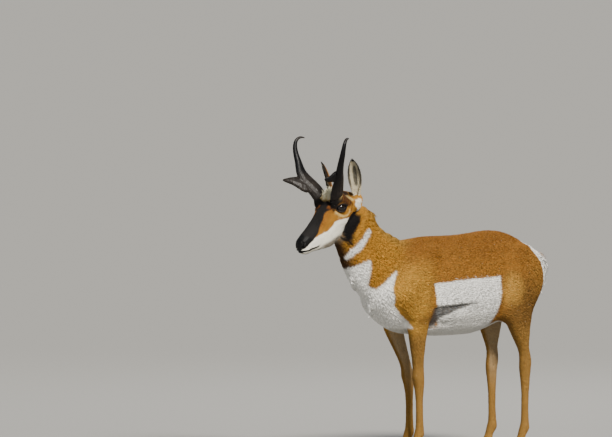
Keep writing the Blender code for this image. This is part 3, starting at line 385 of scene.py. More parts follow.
# soft edges by name: the strength, then each edge's measure, the value where it is 0, the value
# where it is 1 and how much of the wave that is handed in it follows
fades = {
    # tones of trunk, neck and legs
    "back": (1, ("z", 0.735, 0.875, 0.02)),
    "shoulder": (0.85, ("x", 0.06, -0.05), ("z", 0.83, 0.70), ("x", -0.26, -0.16)),
    "thigh": (1, ("x", 0.33, 0.42), ("z", 0.76, 0.64)),
    "rump": (0.7, ("x", 0.44, 0.54), ("z", 0.86, 0.76), ("z", 0.60, 0.68)),
    "hip": (0.8, ("fromHip", 0.075, 0.02)),
    "nape": (1, ("turn", 120, 172, 900)), "throat": (1, ("turn", 34, 6, 900)),
    "onNeck": (1, ("up", -0.03, 0.05), ("x", 0.12, -0.02)),
    "leg": (1, ("z", 0.54, 0.46)),
    "legInner": (0.7, ("inward", 0.15, 0.75), ("z", 0.22, 0.46), ("z", 0.62, 0.56)),
    "armShade": (0.45, ("fromArm", 0.034, 0.004), ("x", -0.085, -0.050), ("x", 0.07, 0.03)),
    # white of flank, belly, chest, neck and rump
    # painted shade: greyer white low on the belly
    "belly": (1, ("z", 0.62, 0.54)),
    "flank": (1, ("reach", -0.003, 0.004, 1), ("z", 0.50, 0.53)),
    "under": (1, ("rise", -0.35, -0.65), ("z", 0.64, 0.58)),
    "underFlank": (1, ("fromRear", 0.010, -0.006, 1), ("fromFront", -0.004, 0.006, 1)),
    "underMiddle": (1, ("side", 0.070, 0.050), ("x", 0.52, 0.46)),
    # painted shadow in the fold under the flank
    "foldShadow": (1, ("fold", -0.004, 0.010, 1), ("x", 0.01, 0.04), ("x", 0.27, 0.20), ("side", 0.02, 0.05)),
    "chest": (1, ("chest", -0.003, 0.004, 1), ("z", 0.512, 0.524, 1)),
    "neckBand": (1, ("depth", -0.0045, 0.0015, 1)),
    "rumpSides": (0.01, ("side", 0.10, 0.14)),
    "rumpWhite": (1, ("rump", -0.003, 0.004, 1), ("z", 0.60, 0.64)),
    "tailTop": (0.8, ("rise", 0.45, 0.8)),
    # the face
    "faceRear": (1, ("hx", 0.03, 0.09)),
    "deepCheek": (0.55, ("deep", 0.4, 1.0), ("hx", -0.20, -0.10), ("hx", 0.0, -0.04)),
    "browShade": (1, ("hx", -0.026, -0.010), ("arc", 0.012, 0.022)),
    "cheekWhite": (1, ("depth", -0.0025, 0.0025, 1)),
    "chin": (1, ("angle", -40, -70), ("hx", -0.12, -0.16)),
    "jaw": (0.85, ("arc", -0.045, -0.057), ("hx", -0.155, -0.12)),
    "jawSeam": (0.85, ("headward", 0.026, 0.010), ("arc", -0.034, -0.046), ("hx", -0.016, -0.034)),
    "crease": (0.8, ("crease", 0.0034, 0.0016, 1), ("mid", 0.03, 0.04)),
    "mask": (1, ("above", -0.0025, 0.0025, 1), ("hx", 0.012, 0.000, 1)),
    "warmBrow": (0.75, ("across", 0.014, 0.008, 1), ("hx", -0.040, -0.030), ("hx", -0.014, -0.022)),
    "dusk": (0.8, ("hx", -0.010, -0.016), ("hx", -0.024, -0.018)),
    "lockBase": (1, ("hx", -0.003, 0.004, 2)), "lockTip": (1, ("hx", 0.004, 0.014, 3)),
    "forelock": (1, ("hx", -0.003, 0.006, 2), ("hx", 0.066, 0.050), ("mid", 0.040, 0.032, 1),
                 ("hz", 0.015, 0.03)),
    "hornFoot": (0.9, ("fromHorn", 0.0365, 0.031, 1), ("hz", 0.030, 0.042), ("hx", 0.030, 0.006),
                 ("mid", 0.028, 0.036)),
    "browSides": (1, ("mid", 0.028, 0.036)), "patchSides": (1, ("mid", 0.008, 0.018)),
    "crown": (0.75, ("hx", 0.052, 0.060), ("hz", 0.018, 0.030), ("mid", 0.016, 0.030), ("mid", 0.066, 0.056)),
    "nosePad": (1, ("nose", -0.0022, 0.0022, 1)),
    "lips": (1, ("fromLips", 0.0056, 0.0036), ("hx", -0.148, -0.160)),
    "lowLip": (1, ("mouth", -0.0115, -0.0085), ("mouth", 0.0015, 0.0), ("hx", -0.220, -0.226),
               ("mid", 0.014, 0.010)),
    "chinShade": (0.85, ("mouth", -0.0125, -0.0165, 1), ("hx", -0.130, -0.155)),
    "lidRing": (1, ("lid", 0.0060, 0.0034, 0.5)),
    "tear": (0.85, ("fromTear", 0.0046, 0.0020, 1), ("hx", -0.040, -0.030), ("hx", -0.012, -0.02),
             ("mid", 0.03, 0.04)),
    "onHead": (1, ("headward", -0.012, 0.008, 1)), "neckTop": (1, ("headward", -0.05, -0.03)),
    # the ears
    "earCup": (1, ("facing", 0.0, 0.35)),
    "earSlit": (1, ("fromSlit", 0.0025, -0.0025), ("along", 0.19, 0.26), ("along", 0.82, 0.74)),
    "earRim": (1, ("edge", 0.63, 0.78, 12), ("along", 0.16, 0.30)),
    "earTurn": (1, ("turned", 0.25, 0.0), ("along", 0.2, 0.35)),
    "earRimTop": (0.2, ("along", 0.3, 0.7)), "earTip": (1, ("along", 0.90, 0.945, 4)),
    "earFoot": (0.85, ("along", 0.26, 0.10), ("facing", -0.1, -0.6)),
    "earBackTop": (0.7, ("along", 0.62, 0.90), ("facing", -0.1, -0.6)),
    # the skin: how deep it lies, where it is smoothed and where it stays fine
    "headDepth": (1, ("headward", -0.03, 0.04)), "legDepth": (1, ("z", 0.30, 0.58)),
    "muzzleDepth": (1, ("hx", -0.06, -0.14)),
    "foldDepth": (0.008, ("fold", -0.004, 0.012), ("x", 0.01, 0.05), ("x", 0.27, 0.16)),
    "napeRise": (0.009, ("turn", 125, 150), ("up", 0.15, 0.21), ("up", 0.32, 0.29), ("headward", 0.03, 0.0)),
    "headSmooth": (1, ("headward", -0.05, 0.02)), "trunkSmooth": (1, ("z", 0.20, 0.50)),
    "napeSmooth": (1, ("turn", 135, 155), ("up", 0.08, 0.14), ("up", 0.30, 0.27)),
    "rumpLocks": (1, ("x", 0.50, 0.54), ("z", 0.56, 0.60), ("z", 0.82, 0.78), ("side", 0.026, 0.036)),
    "brisketLocks": (1, ("x", -0.04, -0.07), ("z", 0.50, 0.52), ("z", 0.66, 0.62), ("side", 0.045, 0.060)),
    "maneLocks": (1, ("turn", 125, 145), ("up", 0.12, 0.16), ("up", 0.31, 0.28), ("headward", 0.025, -0.015)),
    "fine": (0.85, ("headward", -0.06, 0.0)),
    "lidRise": (0.0016, ("lid", 0.0062, 0.0030), ("lid", -0.001, 0.0015)),
    "overEye": (1, ("over", 0.007, 0.019)), "noseSides": (1, ("mid", 0.006, 0.010)),
    "mouthFront": (1, ("hx", -0.150, -0.168)),
    "chinFold": (1, ("hx", -0.225, -0.205), ("hx", -0.185, -0.195)),
    "dampHead": (1, ("headward", 0.0, 0.02)), "dampNose": (1, ("nose", -0.001, 0.002)),
    "dampLips": (1, ("fromLips", 0.004, 0.002), ("hx", -0.15, -0.16)), "dampLids": (1, ("lid", 0.004, 0.002)),
    # the kinds of hair, in the order in which they are laid
    "backHair": (1, ("z", 0.80, 0.86), ("x", -0.12, -0.05)),
    "bellyHair": (1, ("z", 0.70, 0.62), ("x", 0.0, 0.06), ("x", 0.37, 0.33)),
    "neckHair": (1, ("up", 0.0, 0.05), ("x", 0.08, -0.02)),
    "chestHair": (1, ("x", -0.06, -0.13), ("z", 0.70, 0.64)),
    "napeHair": (1, ("turn", 150, 168), ("up", 0.02, 0.08)),
    "rumpHair": (1, ("behind", 0.0, 0.02), ("z", 0.60, 0.65)),
    "legsHair": (1, ("z", 0.58, 0.50)),
    "chestEdgeHair": (0.8, ("edge", 0.024, 0.010), ("z", 0.66, 0.61), ("z", 0.50, 0.54)),
    "shinHair": (1, ("z", 0.42, 0.30)), "faceHair": (1, ("headward", -0.015, 0.02)),
    "cheekHair": (1, ("headward", -0.015, 0.02), ("hz", -0.03, -0.06), ("hx", -0.07, -0.03)),
    "muzzleHair": (1, ("headward", -0.015, 0.02), ("hx", -0.10, -0.15)),
    "pollHair": (1, ("hx", -0.010, 0.014), ("hx", 0.066, 0.036), ("mid", 0.038, 0.020), ("hz", 0.02, 0.040)),
    # the lie of the hair
    "bellyLie": (1, ("z", 0.62, 0.56), ("x", -0.02, 0.08)), "thighLie": (1, ("x", 0.40, 0.54)),
    "shoulderLie": (1, ("x", -0.04, -0.12)), "chestLie": (1, ("x", -0.13, -0.19), ("z", 0.76, 0.66)),
    "neckLie": (1, ("up", 0.0, 0.06), ("x", 0.06, -0.02)), "legLie": (1, ("z", 0.56, 0.48)),
    "headLie": (1, ("headward", -0.02, 0.01)), "jawLie": (1, ("hz", -0.02, -0.06), ("hx", -0.08, 0.0)),
    "pollLie": (1, ("hx", -0.01, 0.02), ("hz", 0.03, 0.05)),
}

# strength of the head's patches, softness of their edge and how far they grow past it
patchLook = {
    "browRed": (1, 0.005, 0.002), "underEye": (1, 0.003, 0.0004), "browCream": (1, 0.003, 0),
    "earStreak": (0.7, 0.003, 0), "browBlack": (0.95, 0.003, 0), "patch": (1, 0.0022, 0),
    "underEar": (0.92, 0.0022, -0.0028), "eyeCorner": (0.95, 0.002, 0),
}


class Layers:
    # a row of values for every spot, such as a tone, with others of the table laid over it
    def __init__(self, name, number, table=coatTones):
        self.table, self.rows = table, np.tile(table[name], (number, 1))

    def lay(self, row, share):
        self.rows = blendTone(self.rows, self.table[row] if isinstance(row, str) else row, share)
        return self


def trunkColours(at, wave):
    # darker along the back, warmer and lighter down the side
    coat = Layers("side", len(at.points))
    coat.lay("back", at.fade("back", at.ripple(0.16, 5)))
    # partly painted light: the shoulder is laid lighter where the light falls on it, and the thigh darker,
    # partly as painted shade and partly its own darker tone
    for tone in ("shoulder", "thigh", "rump"):
        coat.lay(tone, at.fade(tone))
    # painted light: a lighter patch on the hip where the light falls
    coat.lay("hip", at.fade("hip", fromHip=np.hypot(at.x - 0.40, (at.z - 0.66) * 0.8)))
    neck = Layers("neck", len(at.points))
    # the front of the throat is laid near black: its own dark brown, deepened as painted shade where it faces
    # down
    neck.lay("nape", at.fade("nape", wave)).lay("throat", at.fade("throat", wave))
    coat.lay(neck.rows, at.fade("onNeck"))
    coat.lay("leg", at.fade("leg")).lay("legInner", at.fade("legInner"))
    # painted shade: a darker band under the bulge of the upper arm
    return coat.lay("armShade", at.fade("armShade", fromArm=np.abs(at.z - 0.556 - 0.20 * at.x)))


def layWhite(coat, at, wave):
    # flank and belly; low on the belly the white is painted greyer, as shade under its curve
    rear, front = along(bodyMarks["flankRear"], at.z), along(bodyMarks["flankFront"], at.z)
    reach = np.minimum(np.minimum(along(bodyMarks["flankTop"], at.x) - at.z, rear - at.x), at.x - front)
    whole = Layers("white", len(at.points)).lay("belly", at.fade("belly")).rows
    coat.lay(whole, at.fade("flank", wave, reach=reach))
    inside = at.fade("underFlank", wave, fromRear=at.x - rear, fromFront=at.x - front)
    coat.lay(whole, at.fade("under") * at.on("torso") * np.maximum(inside, at.fade("underMiddle")))
    # painted shadow: the fold between them is laid dark grey, as the shade the flank casts on the belly
    fold = at.fade("foldShadow", wave, fold=foldDistance(at))
    coat.lay("foldShadowTone", fold * (0.90 + 0.06 * at.ripple(0.012, 25)))
    # the chest in front of the shoulder, up to the lowest band of the neck, and the bands
    arc = np.radians(at.turn) * arcOf["neck"]
    bands = {name: insideBy(at.up, arc, onArc(marks, "neck")) for name, marks in neckBands.items()}
    chest = np.minimum(along(bodyMarks["chestEdge"], at.z) - at.x, bands["chest"])
    coat.lay("white", at.fade("chest", wave, chest=chest))
    for name in ("upper", "lower"):
        coat.lay("white", at.fade("neckBand", wave, depth=bands[name]))
    # rump and tail
    rump = at.x - along(bodyMarks["rumpEdge"], at.z) - at.fade("rumpSides")
    coat.lay("white", at.fade("rumpWhite", wave, rump=rump))
    coat.lay("white", at.on("tail").astype(float)).lay("back", at.on("tail") * at.fade("tailTop"))


def patchShare(at, name, wave):
    strength, soft, grow = patchLook[name]
    depth = insideBy(at.hx, at.arc, onArc(headMarks[name]))
    return strength * smoothStep(-soft, soft, depth + wave + grow)


def faceColours(at, wave):
    face = Layers("cheek", len(at.points)).lay("neck", at.fade("faceRear"))
    high, low = (along(onArc(headMarks[name]), at.hx) for name in ("maskEdge", "whiteTop"))
    face.lay("brow", at.fade("deepCheek", deep=(at.arc - low) / np.maximum(high - low, 0.004)))
    face.lay("browDark", at.fade("browShade") * (0.50 + 0.3 * at.ripple(0.012, 21)))
    streaks = 0.85 + 0.25 * ripple(at.points * (1, 1, 0.5), 0.009, 26)
    face.lay("browDark", patchShare(at, "browRed", wave) * streaks)
    # white cheeks and chin, with painted shade under the jaw and at its rear corner
    rear = at.hx - along(headMarks["whiteRear"], at.angle)
    white = at.fade("cheekWhite", wave, depth=np.minimum(low - at.arc, -rear))
    face.lay(Layers("cheekWhite", len(at.points)).lay("chin", at.fade("chin")).rows, white)
    face.lay("jaw", at.fade("jaw") * white).lay("jaw", at.fade("jawSeam"))
    # streaks round the eye
    face.lay("cream", patchShare(at, "underEye", wave) * (0.74 + 0.26 * at.ripple(0.008, 22)))
    crease = np.min([np.hypot(at.hx - x, at.arc - turn) for x, turn in onArc(headMarks["crease"])], axis=0)
    face.lay("browDark", at.fade("crease", wave, crease=crease))
    face.lay("cream", patchShare(at, "browCream", wave) * (0.8 + 0.2 * at.ripple(0.008, 23)))
    face.lay("cream", patchShare(at, "earStreak", wave))
    # the mask, warm brown over the brows, and the forelock
    mask = at.fade("mask", wave, above=at.arc - high)
    face.lay("mask", mask)
    face.lay("brow", at.fade("warmBrow", wave, across=np.abs(at.mid - 0.030)) * mask)
    face.lay("black", at.fade("dusk") * mask)
    lock = Layers("brow", len(at.points)).lay("cream", at.fade("lockBase", wave))
    face.lay(lock.lay("poll", at.fade("lockTip", wave)).rows, at.fade("forelock", wave))
    # black round the horns, behind the jaw and on the crown
    fromHorn = np.hypot((at.hx - 0.012) * 0.85, at.mid - 0.047)
    face.lay("black", at.fade("hornFoot", wave, fromHorn=fromHorn))
    face.lay("black", patchShare(at, "browBlack", wave) * at.fade("browSides"))
    face.lay("black", at.fade("crown"))
    face.lay("black", patchShare(at, "patch", wave) * at.fade("patchSides"))
    face.lay("cheekWhite", patchShare(at, "underEar", wave))
    # nose, lips, lids and the corners of the eye
    face.lay("nose", at.fade("nosePad", wave, nose=noseDistance(at)))
    # painted shade under the chin
    face.lay("chinShade", at.fade("chinShade", wave))
    lips = at.fade("lips", fromLips=np.abs(at.mouth + 0.0004))
    face.lay("nose", np.maximum(lips, at.fade("lowLip")))
    tear = at.fade("tear", wave, fromTear=np.abs(at.hz - 0.030 - 0.35 * (at.hx + 0.020)))
    face.lay("black", np.maximum(at.fade("lidRing", wave, lid=lidDistance(at.points)), tear))
    return face.lay("black", patchShare(at, "eyeCorner", wave)).rows


def earColours(at, on, name, wave):
    # pale in the cup, with a dark slit, rim and tip
    points = at.points[on]
    spot = earMeasures(points, at.normals[on], name)
    inside = at.fade("earCup", **spot)
    ear = Layers("earBack", len(points)).lay("earInner", inside)
    half = earShape["slit"] * np.sqrt(np.clip(1 - ((spot["along"] - 0.50) / 0.33) ** 2, 0, 1))
    slit = inside * at.fade("earSlit", fromSlit=np.abs(spot["across"] - 0.001 + wave) - half, **spot)
    ear.lay("earSlit", slit * (0.82 + 0.15 * ripple(points, 0.006, 24)))
    spot["turned"] = np.abs(spot["facing"])
    rim = np.maximum(at.fade("earRim", wave, **spot), at.fade("earTurn", **spot))
    ear.lay("black", rim * (0.75 + at.fade("earRimTop", **spot)))
    ear.lay("black", at.fade("earTip", wave, **spot))
    return ear.lay("black", at.fade("earFoot", **spot)).lay("black", at.fade("earBackTop", **spot)).rows


def coatColours(at):
    wave = at.ripple(0.050, 3) * 0.0016 + at.ripple(0.014, 4) * 0.0012
    coat = trunkColours(at, wave)
    layWhite(coat, at, wave)
    wave = at.ripple(0.022, 7) * 0.0010 + at.ripple(0.006, 8) * 0.0008
    coat.lay(faceColours(at, wave), at.fade("onHead", wave))
    # the dark patch behind the jaw runs on to the top of the neck
    coat.lay("black", patchShare(at, "patch", wave) * at.fade("patchSides") * at.fade("neckTop"))
    for name in ("left", "right"):
        on = at.on("ear_" + name)
        if on.any():
            coat.rows[on] = earColours(at, on, name, wave[on])
    return coat.rows


earShape = {"root": (0.093, 0.066, 0.004), "forward": 0.040, "outward": 0.0127, "slit": 0.0082,
            "rise": {"left": 0.142, "right": 0.127}}


def earMeasures(points, normals, name):
    # share of the way to the tip, distance across, how far a spot faces the opening, and the rim
    side = 1 if name == "left" else -1
    turn = headPlace.to_3x3()
    back, out, up = earShape["root"]
    root = headPlace @ Vector((back, -side * out, up))
    forward = turn @ Vector((-1, 0, 0))
    forward = Vector((forward.x, forward.y, 0)).normalized()
    outward = Vector((-forward.y, forward.x, 0)) * side
    reach = (forward * earShape["forward"] + outward * earShape["outward"]
             + Vector((0, 0, 1)) * earShape["rise"][name])
    axis = reach.normalized()
    opening = (forward * 0.80 + outward * 0.60).normalized()
    across = axis.cross(opening).normalized()
    opening = across.cross(axis).normalized()
    offset = points - np.array(root)
    t = offset @ np.array(axis) / reach.length
    wide = 0.0150 + 0.0125 * np.sin(math.pi * np.clip(t / 0.55, 0, 1) / 2) ** 1.2
    taper = np.maximum(1 - (np.maximum(t - 0.42, 0) / 0.585) ** 2.1, 0.004) ** 0.72
    wide = wide * np.where(t > 0.42, taper, 1)
    lateral = offset @ np.array(across)
    return {"along": t, "across": lateral, "facing": normals @ np.array(opening),
            "edge": np.abs(lateral) / np.maximum(wide, 0.002), "axis": np.array(axis)}


fleshNodes = ["torso", "neck", "head", "tail", "ear_left", "ear_right",
              "foreleg_left", "foreleg_right", "hindleg_left", "hindleg_right"]
legNodes = [name for name in fleshNodes if "leg" in name]
regionOf = {name: count for count, name in enumerate(fleshNodes)}


def inScene(obj):
    bpy.context.scene.collection.objects.link(obj)
    return obj


def meshFrom(name, bm):
    mesh = bpy.data.meshes.new(name)
    bm.to_mesh(mesh)
    bm.free()
    return inScene(bpy.data.objects.new(name, mesh))


def welded(name):
    # a node's mesh with its corners joined
    bm = bmesh.new()
    bm.from_mesh(nodes[name].data)
    bmesh.ops.remove_doubles(bm, verts=bm.verts, dist=1e-5)
    return bm


def settled(obj):
    # applies the modifiers
    bpy.context.view_layer.update()
    graph = bpy.context.evaluated_depsgraph_get()
    mesh = bpy.data.meshes.new_from_object(obj.evaluated_get(graph))
    obj.modifiers.clear()
    old = obj.data
    obj.data = mesh
    bpy.data.meshes.remove(old)


def pointsOf(mesh):
    values = np.empty(len(mesh.vertices) * 3)
    mesh.vertices.foreach_get("co", values)
    return values.reshape(-1, 3)


def normalsOf(mesh):
    values = np.empty(len(mesh.vertices) * 3, np.float32)
    mesh.vertex_normals.foreach_get("vector", values)
    return values.reshape(-1, 3).astype(float)


def setPoints(mesh, points):
    mesh.vertices.foreach_set("co", points.astype(np.float32).ravel())
    mesh.update()


def trianglesOf(mesh):
    return sum(len(p.vertices) - 2 for p in mesh.polygons)


def addModifier(obj, kind, **settings):
    made = obj.modifiers.new(kind.lower(), kind)
    for key, value in settings.items():
        setattr(made, key, value)


def weightGroup(obj, name, weights, levels=20):
    group = obj.vertex_groups.new(name=name)
    steps = np.round(np.clip(weights, 0, 1) * levels).astype(int)
    for level in range(1, levels + 1):
        chosen = np.nonzero(steps == level)[0]
        if len(chosen):
            group.add(chosen.tolist(), level / levels, "REPLACE")


def regionsAt(points):
    # which flesh node lies nearest to each point
    corners, faces, owners = [], [], []
    for name in fleshNodes:
        mesh = nodes[name].data
        start = len(corners)
        corners += [v.co.copy() for v in mesh.vertices]
        faces += [[start + k for k in polygon.vertices] for polygon in mesh.polygons]
        owners += [regionOf[name]] * len(mesh.polygons)
    tree = BVHTree.FromPolygons(corners, faces)
    return np.array([owners[tree.find_nearest(Vector(p))[2]] for p in points])


skinSettings = {"voxel": 0.0021, "triangles": 186000, "firstRatio": 0.55, "fill": 0.0005, "earFill": 0.0009,
                "trunkSmooth": 90, "locksSmooth": 160, "faceSmooth": 4}
skinDepth = {"body": 0.0050, "head": 0.0020, "legs": 0.0018, "muzzle": 0.0010, "ears": 0.0007}


def coatDepth(at):
    # how far the skin lies inside the solids
    onHead, onBody = at.fade("headDepth"), at.fade("legDepth")
    depth = skinDepth["body"] * (1 - onHead) + skinDepth["head"] * onHead
    depth = depth * onBody + skinDepth["legs"] * (1 - onBody)
    muzzle = at.fade("muzzleDepth") * onHead
    depth = depth * (1 - muzzle) + skinDepth["muzzle"] * muzzle
    depth = depth + at.fade("foldDepth", fold=foldDistance(at)) * at.on("torso") - at.fade("napeRise")
    return np.where(at.on("ear_left", "ear_right"), skinDepth["ears"], depth)


# height, distance from its line and width of each fold of the face
faceFolds = {
    "crease": (-0.0016, 0.0075, 0.0020), "brow": (0.0026, 0.0125, 0.0036),
    "nostrilRim": (0.0012, 0.0072, 0.0026), "nostril": (-0.0036, 0, 0.0030),
    "mouth": (-0.0026, 0, 0.0017), "lips": (0.0012, 0.0052, 0.0026), "chin": (-0.0008, -0.012, 0.003),
}
nostrilPath = [(-0.0030, -0.2310), (0.0040, -0.2290), (0.0100, -0.2245), (0.0140, -0.2180)]


def foldOf(name, distance):
    height, middle, width = faceFolds[name]
    return height * np.exp(-((distance - middle) / width) ** 2)


def shapeFace(at):
    # lids with a crease, brows, nostrils, lips and the groove of the mouth
    lid = lidDistance(at.points)
    move = at.fade("lidRise", lid=lid) + foldOf("crease", lid)
    move += foldOf("brow", lid) * at.fade("overEye", over=at.hz - 0.35 * at.hx)
    rises = np.linspace(nostrilPath[0][0], nostrilPath[-1][0], 12)
    near = np.min([np.hypot(at.hx - along(nostrilPath, rise), at.hz - rise) for rise in rises], axis=0)
    move += (foldOf("nostrilRim", near) + foldOf("nostril", near)) * at.fade("noseSides") * at.on("head")
    move += (foldOf("mouth", at.mouth) + foldOf("lips", np.abs(at.mouth))) * at.fade("mouthFront")
    move += foldOf("chin", at.mouth) * at.fade("chinFold")
    return at.points + at.normals * move[:, None]


def buildSkin():
    whole = bmesh.new()
    for name in fleshNodes:
        part = welded(name)
        part.normal_update()
        fill = skinSettings["earFill" if name.startswith("ear") else "fill"]
        moves = [v.normal * fill for v in part.verts]
        for v, move in zip(part.verts, moves):
            v.co += move
        mesh = bpy.data.meshes.new("part")
        part.to_mesh(mesh)
        part.free()
        whole.from_mesh(mesh)
        bpy.data.meshes.remove(mesh)
    skin = meshFrom("skin", whole)
    addModifier(skin, "REMESH", mode="VOXEL", voxel_size=skinSettings["voxel"])
    settled(skin)
    at = Spots(pointsOf(skin.data))
    print("skin remeshed", len(at.points))
    onHead = at.fade("headSmooth")
    trunk = np.maximum((1 - onHead) * at.fade("trunkSmooth"), at.fade("napeSmooth"))
    locks = np.max([at.fade(name) for name in ("rumpLocks", "brisketLocks", "maneLocks")], axis=0)
    for name, weights in (("trunk", trunk), ("face", 1 - 0.5 * onHead), ("locks", locks)):
        weightGroup(skin, name, weights)
        addModifier(skin, "SMOOTH", factor=0.5, iterations=skinSettings[name + "Smooth"], vertex_group=name)
    addModifier(skin, "DECIMATE", ratio=skinSettings["firstRatio"])
    settled(skin)
    skin.vertex_groups.clear()
    weightGroup(skin, "trunk", 1 - Spots(pointsOf(skin.data)).fade("fine"))
    ratio = skinSettings["triangles"] / trianglesOf(skin.data)
    addModifier(skin, "DECIMATE", ratio=ratio, vertex_group="trunk")
    settled(skin)
    skin.vertex_groups.clear()
    mesh = skin.data
    bm = bmesh.new()
    bm.from_mesh(mesh)
    bmesh.ops.triangulate(bm, faces=bm.faces)
    bm.to_mesh(mesh)
    bm.free()
    points, normals = pointsOf(mesh), normalsOf(mesh)
    regions = regionsAt(points)
    print("skin thinned", len(points), len(mesh.polygons))
    points = points - normals * coatDepth(Spots(points, normals, regions))[:, None]
    setPoints(mesh, shapeFace(Spots(points, normals, regions)))
    return skin, regions


skin, skinRegions = buildSkin()
mesh = skin.data
skinSpots = Spots(pointsOf(mesh), normalsOf(mesh), skinRegions)


def colourAttribute(mesh, colours):
    layer = mesh.color_attributes.new("coat", "FLOAT_COLOR", "POINT")
    values = np.ones((len(colours), 4), np.float32)
    values[:, :3] = colours
    layer.data.foreach_set("color", values.ravel())


def makeSkinMaterial():
    material, shader, place = newMaterial("skinCoat", roughness=0.85, shine=0.16)
    grain = place.mapped((1, 1.6, 1)).noise(420.0, 2.0)
    patch = place.noise(38.0, 3.0)
    feed(shader, "Base Color", scaled(place.attribute("coat"), grain * 0.35 + patch * 0.3 + 0.60))
    moist = place.attribute("moist", "Fac")
    feed(shader, "Roughness", 0.85 - moist * 0.42)
    pebble = place.out(place.node("ShaderNodeTexVoronoi", Vector=place, Scale=620.0), "Distance")
    feed(shader, "Normal", (grain * (1 - moist) + pebble * moist).bump(0.5, 0.0010))
    return material


def moistPlaces(at):
    # the nose pad, the lips and the lids are bare and damp
    nose = at.fade("dampNose", nose=noseDistance(at))
    lips = at.fade("dampLips", fromLips=np.abs(at.mouth))
    lids = at.fade("dampLids", lid=lidDistance(at.points))
    return np.maximum(np.maximum(nose, lips), lids) * at.fade("dampHead")


def finishSkin():
    colourAttribute(mesh, coatColours(skinSpots))
    layer = mesh.attributes.new("moist", "FLOAT", "POINT")
    layer.data.foreach_set("value", moistPlaces(skinSpots).astype(np.float32))
    mesh.shade_smooth()
    mesh.materials.append(makeSkinMaterial())
    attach(skin, "root")
    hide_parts(*fleshNodes)


finishSkin()
print("skin finished")


coatLook = {
    # length, width and lift of the tufts, and how many there are for the same area
    "trunk": (0.0165, 0.0030, 0.15, 1.0), "back": (0.0150, 0.0030, 0.13, 1.0),
    "belly": (0.0230, 0.0029, 0.15, 1.1), "chest": (0.0220, 0.0029, 0.17, 1.2),
    "neck": (0.0190, 0.0029, 0.17, 1.1), "nape": (0.0230, 0.0028, 0.16, 1.4),
    "rump": (0.0250, 0.0029, 0.18, 1.3), "tail": (0.0300, 0.0030, 0.34, 2.4),
    "legs": (0.0110, 0.0023, 0.12, 1.35), "shin": (0.0075, 0.0018, 0.12, 1.8),
    "face": (0.0088, 0.0016, 0.17, 2.6), "muzzle": (0.0050, 0.0011, 0.12, 4.2),
    "poll": (0.0400, 0.0022, 0.82, 5.0), "cheek": (0.0120, 0.0019, 0.20, 2.6),
    "earOut": (0.0060, 0.0012, 0.13, 3.4), "earIn": (0.0100, 0.0011, 0.22, 3.6),
    "number": 136000, "most": 19800, "sink": 0.0006, "thickness": 0.34, "seed": 20, "brightest": 0.92,
}

# bare where nearer to the nose, the lips and the lids than this, and at the claws
bareLook = {"nose": -0.001, "lips": 0.0022, "lipsFront": -0.15, "lids": 0.0026, "claws": 0.040}


def coatSizes(at):
    sizes = Layers("trunk", len(at.points), coatLook)
    behind = at.x - along(bodyMarks["rumpEdge"], at.z)
    for kind in ("back", "belly", "neck", "chest", "nape", "rump", "legs"):
        sizes.lay(kind, at.fade(kind + "Hair", behind=behind))
    edge = np.abs(along(bodyMarks["chestEdge"], at.z) - at.x)
    sizes.lay("legs", at.fade("chestEdgeHair", edge=edge)).lay("shin", at.fade("shinHair"))
    onHead = at.fade("faceHair")
    sizes.lay("tail", at.on("tail")).lay("face", onHead).lay("cheek", at.fade("cheekHair"))
    sizes.lay("muzzle", at.fade("muzzleHair")).lay("poll", onHead * at.fade("pollHair"))
    for name in ("left", "right"):
        on = at.on("ear_" + name)
        facing = earMeasures(at.points, at.normals, name)["facing"]
        sizes.lay("earOut", on).lay("earIn", on & (facing > 0.1))
    nose = noseDistance(at) > bareLook["nose"]
    lips = (np.abs(at.mouth) < bareLook["lips"]) & (at.hx < bareLook["lipsFront"])
    lids = lidDistance(at.points) < bareLook["lids"]
    sizes.rows[(nose | lips | lids) & (onHead > 0.5), 3] = 0
    sizes.rows[at.on(*legNodes) & (at.z < bareLook["claws"]), 3] = 0
    return sizes.rows


# the way the hair lies: back, left and up, and for the last three in the head's measure
coatLie = {
    "side": (0.95, 0, -0.30), "belly": (1, 0, -0.05), "thigh": (0.45, 0, -0.9), "shoulder": (0.70, 0, -0.72),
    "chest": (0.35, 0, -0.94), "neck": (0.70, 0, -0.71), "leg": (0.10, 0, -1), "tail": (0.25, 0, -1),
    "head": (1, 0, -0.12), "jaw": (1, 0, -0.55), "poll": (0.55, 0, 0.85),
}


def lieOfCoat(at):
    laid = Layers("side", len(at.points), coatLie)
    for kind in ("belly", "thigh", "shoulder", "chest", "neck"):
        laid.lay(kind, at.fade(kind + "Lie"))
    laid.lay("leg", at.fade("legLie") * at.on(*legNodes)).lay("tail", at.on("tail"))
    turned, onHead = np.array(headPlace.to_3x3()), at.fade("headLie")
    for kind, share in (("head", 1), ("jaw", at.fade("jawLie")), ("poll", at.fade("pollLie"))):
        laid.lay(turned @ np.array(coatLie[kind]), onHead * share)
    for name in ("left", "right"):
        laid.lay(earMeasures(at.points, at.normals, name)["axis"], at.on("ear_" + name))
    lie = laid.rows - at.normals * np.sum(laid.rows * at.normals, axis=1, keepdims=True)
    size = np.linalg.norm(lie, axis=1, keepdims=True)
    spare = np.cross(at.normals, (0.0, 1.0, 0.0))
    lie = np.where(size > 0.05, lie / np.maximum(size, 1e-9), spare)
    return lie / np.linalg.norm(lie, axis=1, keepdims=True)


def legMiddle(z, values):
    # the middle of a leg at each height
    middles = []
    for level in (0.03, 0.2, 0.4, 0.6, 0.72):
        near = np.abs(z - level) < 0.06
        middles.append(np.median(values[near] if near.any() else values))
    return np.interp(z, [0, 0.2, 0.4, 0.6, 0.8], middles)


